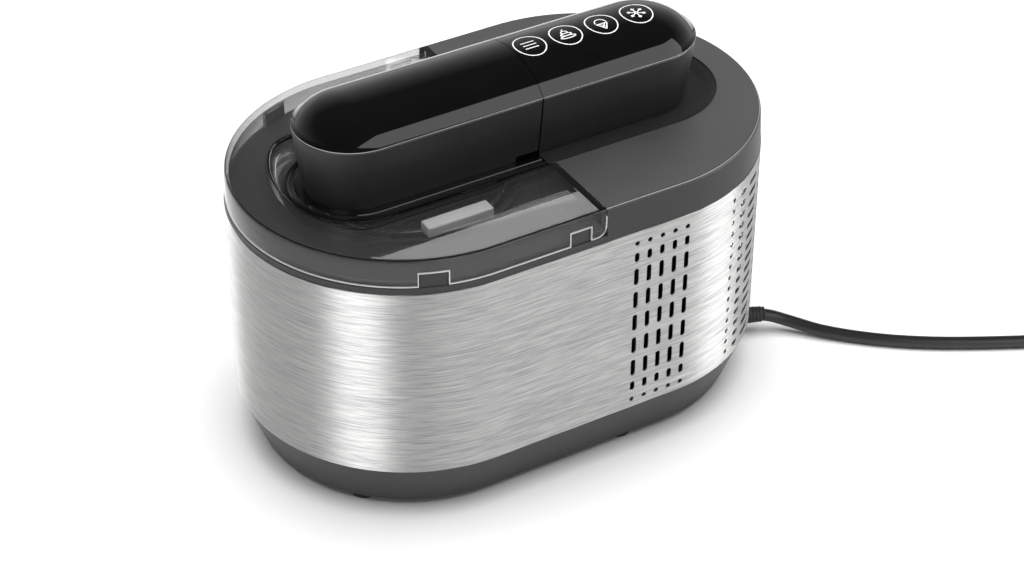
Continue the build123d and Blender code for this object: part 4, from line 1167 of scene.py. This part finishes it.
# ---- lid ----------------------------------------------------------------------------------------
def channel_track():
    """Rim line of the lid's channel: straight beside the head, then round the bowl's axis."""
    near, wide, reach, soft = MOAT_R, 50.0, 73.0, 9.0
    flare_x, flare_length = -14.0, 22.0
    line = [(x, -near) for x in np.linspace(SEAM_X - SEAM_GAP, flare_x, 40)[:-1]]
    for share in np.linspace(0, 1, 30):
        out = (wide - near) * share * share * (3 - 2 * share)
        line.append((flare_x - flare_length * share, -near - out))
    corner_x = BOWL_X - sqrt(reach**2 - wide**2)
    line += [(x, -wide) for x in np.linspace(flare_x - flare_length - 0.5, corner_x + soft, 60)]
    start_turn = np.arctan2(-wide, corner_x - BOWL_X) - radians(7.5)
    a, b = np.array([corner_x + soft, -wide]), np.array([corner_x, -wide])
    c = np.array([BOWL_X + reach * cos(start_turn), reach * sin(start_turn)])
    for share in np.linspace(0, 1, 16)[1:]:
        line.append(tuple((1 - share) ** 2 * a + 2 * share * (1 - share) * b + share**2 * c))
    for turn in np.linspace(start_turn, -pi, 90)[1:]:
        line.append((BOWL_X + reach * cos(turn), reach * sin(turn)))
    front = np.array(line)
    back = front[::-1][1:] * (1, -1)
    points = np.concatenate([front, back])
    steps = np.concatenate([[0], np.cumsum(np.linalg.norm(np.diff(points, axis=0), axis=1))])
    even = np.linspace(0, steps[-1], 600)
    points = np.stack([np.interp(even, steps, points[:, k]) for k in (0, 1)], axis=1)
    ahead = np.gradient(points, axis=0)
    spread = 4                                              # neighbours averaged on each side
    kernel = np.ones(2 * spread + 1) / (2 * spread + 1)
    padded = np.pad(ahead, ((spread, spread), (0, 0)), mode="edge")
    ahead = np.stack([np.convolve(padded[:, k], kernel, "valid") for k in (0, 1)], axis=1)
    ahead /= np.linalg.norm(ahead, axis=1)[:, None]
    outward = np.stack([-ahead[:, 1], ahead[:, 0]], axis=1)
    if outward[0][1] > 0:
        outward = -outward
    return Track(points, outward)


class MACHINE_OT_lid(bpy.types.Operator):
    """Make the smoked clear lid with its channel, skirt and notches"""

    bl_idname = "machine.lid"
    bl_label = "Clear lid"

    def execute(self, context):
        seam = SEAM_X - SEAM_GAP
        outer = stadium(BODY_SPAN, 0.0, -1, seam, 240, 60)
        _, whole = outer.reach(SKIRT_R)
        shares, hem, edge_top = self.hem(whole, seam)
        skirt = outer.at(shares, SKIRT_R)
        channel = channel_track().at(shares, 0.0)
        head = stadium(HEAD_SPAN, HEAD_X, -1, seam, 240, 60).at(shares, HEAD_FOOT_R)
        self.sheet(skirt, channel, head, hem)
        # Painted highlight: a light grey strip round the skirt's bottom edge stands in for the bright
        # edge of the clear sheet.
        inner, outside = SKIRT_BOTTOM_R - 1.4, SKIRT_BOTTOM_R + 0.05
        strip = rows_on(skirt, [
            (outside - 0.6, edge_top), (outside, edge_top - 0.05), (outside, hem - 0.04),
            (inner, hem - 0.04), (inner, hem + 0.1),
        ])
        cut = piece("lid_cut_edge", [skin(strip, False, False)], finish("painted_lid_edge_highlight"), 30)
        settle(cut, "lid", "smoked_clear")
        # Painted shade: polished black strips for the dark lines in the smoked lid at its rims and ends,
        # plus the bead and collar at the head's foot.
        shapes = [skin(rows, False, False) for rows in self.bead_and_shade_lines(skirt, channel, seam)]
        dark = piece("lid_dark_edges", shapes, finish("gloss_black"), 40)
        settle(dark, "lid", "gloss_black")
        # Painted shade: a pure black block at the foot of the head wall stands in for the shade inside
        # the notch there.
        wide, tall, y, floor = 14.0, 4.2, -HEAD_FOOT_R, LID_FLOOR_Z
        low_front = block((seam - wide, y - 0.75, floor), (seam - 0.3, y + 1.0, floor + tall))
        recess = piece("head_foot_recess", [low_front], finish("black_painted_shade"), 30)
        settle(recess, "lid", "head_plastic")
        return {"FINISHED"}

    def sheet(self, skirt, channel, head, hem):
        """The clear moulding: skirt, top, channel and the flange under the head, then back inside."""
        edge, wall = sizes().edge_round / MM, 2.4
        top, floor, bottom = DECK_Z, LID_FLOOR_Z, SKIRT_BOTTOM_R
        rows = rows_on(skirt, [(bottom - 0.35, hem), (bottom - 0.08, hem + 0.1), (bottom, hem + 0.4)])
        rows += rows_on(skirt, [(DECK_R + 0.12, top - edge - 0.7)])
        rows += rows_on(skirt, arc(DECK_R - edge, top - edge, edge, 0, 90, 8))
        rows += rows_on(skirt, [(DECK_R - edge - 1.5, top)])
        rows += rows_on(channel, [(2.2, top)] + arc(1.0, top - 1.0, 1.0, 90, 180, 5))
        rows += rows_on(channel, [(-0.5, floor + 2.4)] + arc(-2.4, floor + 1.9, 1.9, 0, -90, 5))
        rows += rows_on(head, [(HEAD_FOOT_R + 1.5, floor), (HEAD_FOOT_R - 4, floor),
                               (HEAD_FOOT_R - 4, floor - wall)])
        rows += rows_on(channel, arc(0.4, floor - 0.4, 2.0, -90, 0, 4))
        rows += rows_on(channel, [(2.7, top - 4.2), (3.6, top - 3)])
        rows += rows_on(skirt, [(DECK_R - 4.4, top - 3), (DECK_R - 2.6, top - 3.6),
                                (DECK_R - 1.9, top - 5), (bottom - 1.5, hem)])
        lid = piece("clear_lid", [skin(rows, False)], finish("smoked_clear"), 38)
        settle(lid, "lid", "smoked_clear", "lid_window")

    def bead_and_shade_lines(self, skirt, channel, seam):
        """Rows of polished black strips: painted shade for the dark lines that smoked plastic shows at
        the channel's rim, the top edge and the lid's ends, with a dark bead and collar round the head's
        foot.
        """
        edge, proud, top, floor = sizes().edge_round / MM, 0.04, DECK_Z, LID_FLOOR_Z
        rim = [(2.0, top + proud), (1.2, top + proud), (0.4, top - 0.2), (0.05, top - 0.8),
               (0.0, top - 1.6)]
        lines = [rows_on(channel, rim)]
        lines.append(rows_on(skirt, arc(DECK_R - edge, top - edge, edge + 0.03, 48, 66, 3)))
        foot = stadium(HEAD_SPAN, HEAD_X, -1, seam, 96, 24)
        bead = ((39.2, 0.02), (38.9, 0.9), (38.0, 1.4), (36.9, 1.5), (35.9, 1.2), (35.3, 0.6),
                (35.2, 0.02))
        collar = ((32.6, 0.02), (32.2, 0.5), (28.4, 0.8), (28.0, 0.02))
        for profile in (bead, collar):
            lines.append(rows_on(foot, [(d, floor + lift) for d, lift in profile]))
        # painted shade: a dark band near each end of the lid, where the deck's end wall shows through
        band = [(52.4, top + proud), (DECK_R - edge, top + proud)]
        band += arc(DECK_R - edge, top - edge, edge + 0.05, 80, 0, 8) + [(SKIRT_R - 0.28, 163.4)]
        for side in (-1, 1):
            end = Track([(seam - 3.9, 0), (seam - 0.15, 0)], [(0, side), (0, side)])
            lines.append(rows_on(end, band))
        return lines

    def hem(self, whole, seam):
        """The skirt's columns as shares of its length, and at each its bottom and the top of its painted
        edge highlight strip.
        """
        low, high, corner, bright = RING_Z + 0.6, 165.0, 6.0, 0.55
        straight = seam + BODY_SPAN
        bend_place = straight + SKIRT_R * radians(BEND_NOTCH_TURN - 90)
        notches = [(bend_place, BEND_NOTCH_WIDTH), (seam - STRAIGHT_NOTCH_X, STRAIGHT_NOTCH_WIDTH)]
        places = list(np.linspace(0, whole, 420))
        gaps = []
        for place, width in notches:
            for middle in (place, whole - place):
                gaps.append((middle - width / 2, middle + width / 2))
        for start, end in gaps:
            for step in (start, end, start - bright, end + bright):
                places += [step - 0.01, step + 0.01]
        places += list(np.linspace(0, corner, 12)) + list(whole - np.linspace(0, corner, 12))
        places = np.unique(np.round(places, 4))
        hem = np.full(len(places), low)
        for start, end in gaps:
            hem[(places > start) & (places < end)] = high
        from_end = np.minimum(places, whole - places)
        inside = from_end < corner
        squared = corner**2 - (corner - from_end[inside]) ** 2
        hem[inside] = low + corner - np.sqrt(np.maximum(0.0, squared))
        edge_top = hem + bright
        for start, end in gaps:
            edge_top[(places > start - bright) & (places < end + bright)] = high + bright
        edge_top[from_end < bright] = DECK_Z - 4
        return places / whole, hem, edge_top


# ---- head ---------------------------------------------------------------------------------------
CROWN_R, SHOULDER_Y = 60.0, 18.0


def shoulder():
    """Centre, radius and end angles of the arc from the crown down to the rim."""
    slope = asin(SHOULDER_Y / CROWN_R)
    join_z = CROWN_Z - CROWN_R * (1 - cos(slope))
    rim = HEAD_R - 0.6
    across, drop = rim - SHOULDER_Y, join_z - HEAD_RIM_Z
    end_slope = 2 * np.arctan2(drop, across) - slope
    radius = across / (sin(end_slope) - sin(slope))
    return SHOULDER_Y - radius * sin(slope), join_z - radius * cos(slope), radius, slope, end_slope


def crown_section(inset=0.0, steps=26):
    """Distances from the spine and heights of the cover's outside, from the rim up to the spine."""
    centre_y, centre_z, radius, slope, end_slope = shoulder()
    points = []
    for turn in np.linspace(end_slope, slope, steps):
        r = radius - inset
        points.append((centre_y + r * sin(turn), centre_z + r * cos(turn)))
    for turn in np.linspace(slope, 0.0, steps)[1:]:
        r = CROWN_R - inset
        points.append((r * sin(turn), CROWN_Z - CROWN_R + r * cos(turn)))
    return points


def crown_height(y):
    """Height of the cover's crown at a distance from its spine."""
    return CROWN_Z - CROWN_R + sqrt(CROWN_R**2 - y**2)


class MACHINE_OT_head(bpy.types.Operator):
    """Make both halves of the head: drafted housings, gloss covers and printed keys"""

    bl_idname = "machine.head"
    bl_label = "Head and touch keys"

    def execute(self, context):
        for hand, side, floor, housing, cover, body in (
            ("left", -1, LID_FLOOR_Z, "motor_housing", "motor_cover", "lid"),
            ("right", 1, DECK_FLOOR_Z, "control_housing", "touch_cover", "root"),
        ):
            settle(self.housing(hand, side, floor), body, "head_plastic", housing)
            settle(self.cover(hand, side), body, "gloss_black", cover)
            # each half also gets a painted highlight strip along its cover's rim
            settle(self.painted_glint(hand, side), body, "gloss_black")
        self.keys()
        return {"FINISHED"}

    def housing(self, hand, side, floor):
        """Drafted wall of one half, its floor and its flat end at the seam."""
        seam = SEAM_X + side * (SEAM_GAP + 0.35)
        track = stadium(HEAD_SPAN, HEAD_X, side, seam, 96, 28)
        rim = HEAD_RIM_Z - 0.25
        section = [(0.0, floor), (HEAD_FOOT_R - 0.6, floor), (HEAD_FOOT_R + 0.1, floor + 0.5),
                   (HEAD_R - 0.12, rim - 1.0), (HEAD_R - 0.1, rim - 0.5), (HEAD_R - 0.35, rim - 0.12),
                   (HEAD_R - 0.8, rim), (0.0, rim)]
        rows = rows_on(track, section)
        shape = skin(rows, False, open_after=[len(rows) - 1])
        return piece(f"{hand}_housing", [shape], finish("head_plastic"), 34)

    def cover(self, hand, side):
        """Arched cover, 2 mm thick, with a small bright bevel along its rim."""
        seam = SEAM_X + side * SEAM_GAP
        track = stadium(HEAD_SPAN, HEAD_X, side, seam, 128, 40)
        outside, wall = crown_section(), 2.0
        rim_d, rim_z = outside[0]
        section = [(rim_d - 1.2, rim_z - 0.05), (rim_d + 0.25, rim_z - 0.05),
                   (rim_d + 0.42, rim_z + 0.12), (rim_d + 0.38, rim_z + 0.45),
                   (rim_d + 0.05, rim_z + 0.72)]
        section += [(max(d, 0.0), z) for d, z in outside if z > rim_z + 1.2]
        spine_row = len(section) - 1
        section += [(max(d, 0.0), z) for d, z in reversed(crown_section(wall)) if z > rim_z + 1.2]
        section += [(rim_d - 2.6, rim_z + 0.3)]
        shape = skin(rows_on(track, section), False, open_after=[spine_row])
        return piece(f"{hand}_cover", [shape], finish("gloss_black"), 42)

    def painted_glint(self, hand, side):
        """Painted highlight: a thin light grey strip where the cover turns under at its rim."""
        track = stadium(HEAD_SPAN, HEAD_X, side, SEAM_X + side * SEAM_GAP, 128, 40)
        rim_d, rim_z = crown_section()[0]
        line = [(rim_d + 0.1, rim_z - 0.1), (rim_d + 0.42, rim_z), (rim_d + 0.5, rim_z + 0.16),
                (rim_d + 0.44, rim_z + 0.5)]
        shape = skin(rows_on(track, line), False, False)
        return piece(f"{hand}_cover_edge", [shape], finish("painted_cover_rim_highlight"), 50)

    def keys(self):
        """Printed rings round the four touch keys, each with a plain pictogram."""
        s = sizes()
        line, radius, pitch = s.key_line / MM, s.key_ring / MM / 2, s.key_pitch / MM
        spring_edge, across = 3.9, 0.93                         # rings a little narrower than deep
        first_x = box_mm("touch_springs")[0].x + spring_edge
        half_x, half_y = radius * across - line / 2, radius * (2 - across) - line / 2
        centres = [first_x + pitch * k for k in range(4)]
        turns = np.linspace(0, 2 * pi, 64, endpoint=False)
        shapes = []
        for centre in centres:
            path = [(centre + half_x * cos(t), half_y * sin(t)) for t in turns]
            shapes.append(self.ribbon(path, line, True))
        for centre, strokes in zip(centres, self.pictograms()):
            for stroke, closed in strokes:
                path = [(centre + x, y) for x, y in stroke]
                shapes.append(self.ribbon(path, line, closed))
        marks = piece("key_prints", shapes, finish("key_print"), 60)
        settle(marks, "root", "white_plastic")

    def pictograms(self):
        """Plain signs: a list, a soft swirl, a firm cone and a flake."""
        listing = [([(-4.2, y), (4.2, y)], False) for y in (3.0, 0.0, -3.0)]
        turns = np.linspace(0, 2 * pi, 32, endpoint=False)
        swirl = []
        for half, y in ((4.6, -3.0), (3.3, -0.4), (1.9, 2.0)):
            swirl.append(([(half * cos(t), y + 1.25 * sin(t)) for t in turns], True))
        swirl.append(([(-0.6, 3.6), (0.2, 4.8), (0.9, 5.2)], False))
        half = 3.4
        scoop = [(half * cos(t), 0.3 + 4.2 * sin(t)) for t in np.linspace(0.05, pi - 0.05, 20)]
        cone = [([(-half, -0.4), (0.0, -6.0), (half, -0.4)], True), (scoop, False),
                ([(-1.8, -0.6), (1.0, -4.2)], False), ([(1.8, -0.6), (-1.0, -4.2)], False)]
        start, fork, tip, barb = 0.4, 3.2, 5.4, 1.7
        flake = []
        for k in range(6):
            a = radians(60 * k + 30)
            flake.append(([(start * cos(a), start * sin(a)), (tip * cos(a), tip * sin(a))], False))
            x, y = fork * cos(a), fork * sin(a)
            for turn in (a - 0.55, a + 0.55):
                flake.append(([(x, y), (x + barb * cos(turn), y + barb * sin(turn))], False))
        return [listing, swirl, cone, flake]

    def ribbon(self, path, width, closed):
        """Thin printed line that follows the crown."""
        step, sunk, proud = 0.6, -0.1, 0.035
        dense = []
        count = len(path)
        for k in range(count if closed else count - 1):
            a, b = np.array(path[k]), np.array(path[(k + 1) % count])
            pieces = max(1, int(np.linalg.norm(b - a) / step))
            dense += [a + (b - a) * j / pieces for j in range(pieces)]
        if not closed:
            dense.append(np.array(path[-1]))
        dense = np.array(dense)
        ahead = np.roll(dense, -1, axis=0) - np.roll(dense, 1, axis=0)
        if not closed:
            ahead[0], ahead[-1] = dense[1] - dense[0], dense[-1] - dense[-2]
        ahead /= np.linalg.norm(ahead, axis=1)[:, None] + 1e-12
        side = np.stack([-ahead[:, 1], ahead[:, 0]], axis=1) * width / 2
        rows = []
        for offset, lift in ((-1, sunk), (-1, proud), (1, proud), (1, sunk)):
            flat = dense + side * offset
            heights = np.array([crown_height(y) for y in flat[:, 1]]) + lift
            rows.append(np.column_stack([flat, heights]))
        return skin(rows, closed)


# ---- bowl ---------------------------------------------------------------------------------------
class MACHINE_OT_bowl(bpy.types.Operator):
    """Make the cold well, the lift-out bowl, its folding handle and the paddle"""

    bl_idname = "machine.bowl"
    bl_label = "Bowl and paddle"

    def execute(self, context):
        about = ring(BOWL_X, 0, 160)
        well_r, low, top = 60.2, WELL_LOW.z, WELL_HIGH.z
        section = [(0, low), (well_r - 1, low)] + arc(well_r - 1, low + 2, 2, -90, 0, 4)
        section += [(well_r + 1, top - 0.3), (well_r + 0.7, top), (well_r + 0.3, top),
                    (well_r, top - 0.3), (well_r, low + 1.5), (0, low + 1.2)]
        shape = skin(rows_on(about, section), True, False)
        well = piece("cold_well", [shape], finish("spun_aluminium"))
        settle(well, "root", "aluminium", "freezing_well")
        self.bowl(about)
        self.handle()
        self.paddle()
        return {"FINISHED"}

    def bowl(self, about):
        """Drawn bowl with a rolled rim, a centre pin and a lug at each end of the bail."""
        low = box_mm("bowl")[0].z
        outer, wall, rim_z, pin_r, pin_top = 59.8, 1.4, 160.0, 3.0, low + 15
        section = [(0, low), (outer - 5, low)] + arc(outer - 5, low + 5, 5, -90, 0, 6)
        section += [(outer, rim_z - 1.4)] + arc(outer + 0.7, rim_z - 0.7, 0.7, -90, 90, 6)
        section += [(outer - wall + 0.4, rim_z), (outer - wall, rim_z - 0.5)]
        section += arc(outer - wall - 4, low + 5.4, 4, 0, -90, 6) + [(pin_r + 0.1, low + wall)]
        section += [(pin_r, low + wall + 0.2), (pin_r, pin_top - 0.6), (pin_r - 0.4, pin_top)]
        section += [(0, pin_top)]
        shape = skin(rows_on(about, section), True, False)
        bowl = piece("lift_out_bowl", [shape], finish("spun_aluminium"))
        lugs = []
        for side in (-1, 1):
            near, far = sorted((BOWL_X + side * 58.0, BOWL_X + side * 61.0))
            lugs.append(block((near, -4, rim_z - 1), (far, 4, rim_z + 4)))
        lug_piece = piece("bowl_lugs", lugs, finish("aluminium"), 35, 0.5)
        settle(lug_piece, "bowl", "aluminium")
        settle(bowl, "bowl", "aluminium", "bowl")

    def handle(self):
        """Plated bail, folded down over the front of the bowl, with its white grip bar."""
        z, r, half_wide, half_high = 162.0, 55.5, 1.7, 1.35
        turns = np.radians(np.linspace(180, 360, 72))
        bend = Track([(BOWL_X, 0)] * len(turns), np.stack([np.cos(turns), np.sin(turns)], axis=1))
        section = [(r + d * half_wide, z + h * half_high) for d, h in arc(0, 0, 1.0, 0, 360, 16)[:-1]]
        shapes = [skin(rows_on(bend, section), False)]
        pin_r, pin_length = 1.5, 4.7
        pin_section = [(0, 0), (pin_r, 0), (pin_r, pin_length - 0.3), (pin_r - 0.3, pin_length),
                       (0, pin_length)]
        for side in (-1, 1):
            pin = skin(rows_on(ring(0, 0, 20), pin_section), True, False)
            shapes.append(along(pin, (BOWL_X + side * 55.9, 0, z), (side, 0, 0)))
        bail = piece("bail_handle", shapes, finish("screw_steel"), 40)
        arm_x, arm_half, grip_half = 16, 3, 20
        arms = []
        for side in (-1, 1):
            x = BOWL_X + side * arm_x
            arms.append(block((x - arm_half, -57.5, z - 1.4), (x + arm_half, -52.8, z + 2.2)))
        arms.append(block((BOWL_X - grip_half, -62.4, z + 1.0), (BOWL_X + grip_half, -53.0, z + 7.3)))
        grip = piece("bail_grip", arms, finish("white_plastic"), 35, 0.9)
        settle(bail, "handle", "screw_steel")
        settle(grip, "handle", "white_plastic", "bowl_handle")

    def paddle(self):
        """White paddle: two scraping blades on arms round a hollow hub."""
        foot, top, reach, inner, half, arm = box_mm("paddle")[0].z, 140.0, 54.5, 44, 2.2, 8
        shapes = [block((BOWL_X - reach, -half, foot), (BOWL_X + reach, half, foot + arm)),
                  block((BOWL_X - reach, -half, top - arm), (BOWL_X + reach, half, top))]
        for side in (-1, 1):
            near, far = sorted((BOWL_X + side * inner, BOWL_X + side * reach))
            shapes.append(block((near, -half, foot), (far, half, top)))
        blades = piece("paddle_blades", shapes, finish("white_plastic"), 35, 0.7)
        settle(blades, "paddle", "white_plastic")
        bore, hub_r, hub_top = 3.1, 9, 157
        hub = [(bore, foot), (hub_r - 0.6, foot), (hub_r, foot + 0.6), (hub_r, hub_top - 1.4),
               (8.0, hub_top), (6.0, hub_top), (5.4, hub_top - 0.6), (5.4, 145), (bore, 144)]
        shape = skin(rows_on(ring(BOWL_X, 0, 48), hub), True)
        core = piece("paddle_hub", [shape], finish("white_plastic"))
        settle(core, "paddle", "white_plastic", "paddle")


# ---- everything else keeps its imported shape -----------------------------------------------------
class MACHINE_OT_inside(bpy.types.Operator):
    """Give the pieces inside the machine their finishes"""

    bl_idname = "machine.inside"
    bl_label = "Inside pieces"

    def execute(self, context):
        slots = {entry["node"]: entry["material_slot"] for entry in frame["record"]["subparts"]}
        for name, obj in frame["nodes"].items():
            if obj.hide_render:
                continue
            # The condenser gets a dark finish in place of its aluminium slot: painted shade for the fins
            # seen through the vents.
            material = finish("fins_darkened_as_shade" if name == "condenser" else slots[name])
            obj.data.materials.clear()
            obj.data.materials.append(material)
        return {"FINISHED"}


STEPS = [
    MACHINE_OT_camera, MACHINE_OT_cord, MACHINE_OT_base, MACHINE_OT_steel, MACHINE_OT_deck,
    MACHINE_OT_lid, MACHINE_OT_head, MACHINE_OT_bowl, MACHINE_OT_inside, MACHINE_OT_stage,
]


class MACHINE_PT_finish(bpy.types.Panel):
    """Sidebar panel with the machine's steps, sizes and colours"""

    bl_label = "Ice cream maker"
    bl_idname = "MACHINE_PT_finish"
    bl_space_type = "VIEW_3D"
    bl_region_type = "UI"
    bl_category = "Ice cream maker"

    def draw(self, context):
        for step in STEPS:
            self.layout.operator(step.bl_idname)
        for group in (context.scene.machine_sizes, context.scene.machine_colours):
            column = self.layout.column()
            for name in group.__annotations__:
                column.prop(group, name)


CLASSES = [MachineSizes, MachineColours, *STEPS, MACHINE_PT_finish]


def register():
    for made in CLASSES:
        bpy.utils.register_class(made)
    bpy.types.Scene.machine_sizes = bpy.props.PointerProperty(type=MachineSizes)
    bpy.types.Scene.machine_colours = bpy.props.PointerProperty(type=MachineColours)


def unregister():
    del bpy.types.Scene.machine_sizes
    del bpy.types.Scene.machine_colours
    for made in reversed(CLASSES):
        bpy.utils.unregister_class(made)


def main():
    register()
    for step in STEPS:
        group, name = step.bl_idname.split(".")
        getattr(getattr(bpy.ops, group), name)()


if __name__ == "__main__":
    main()
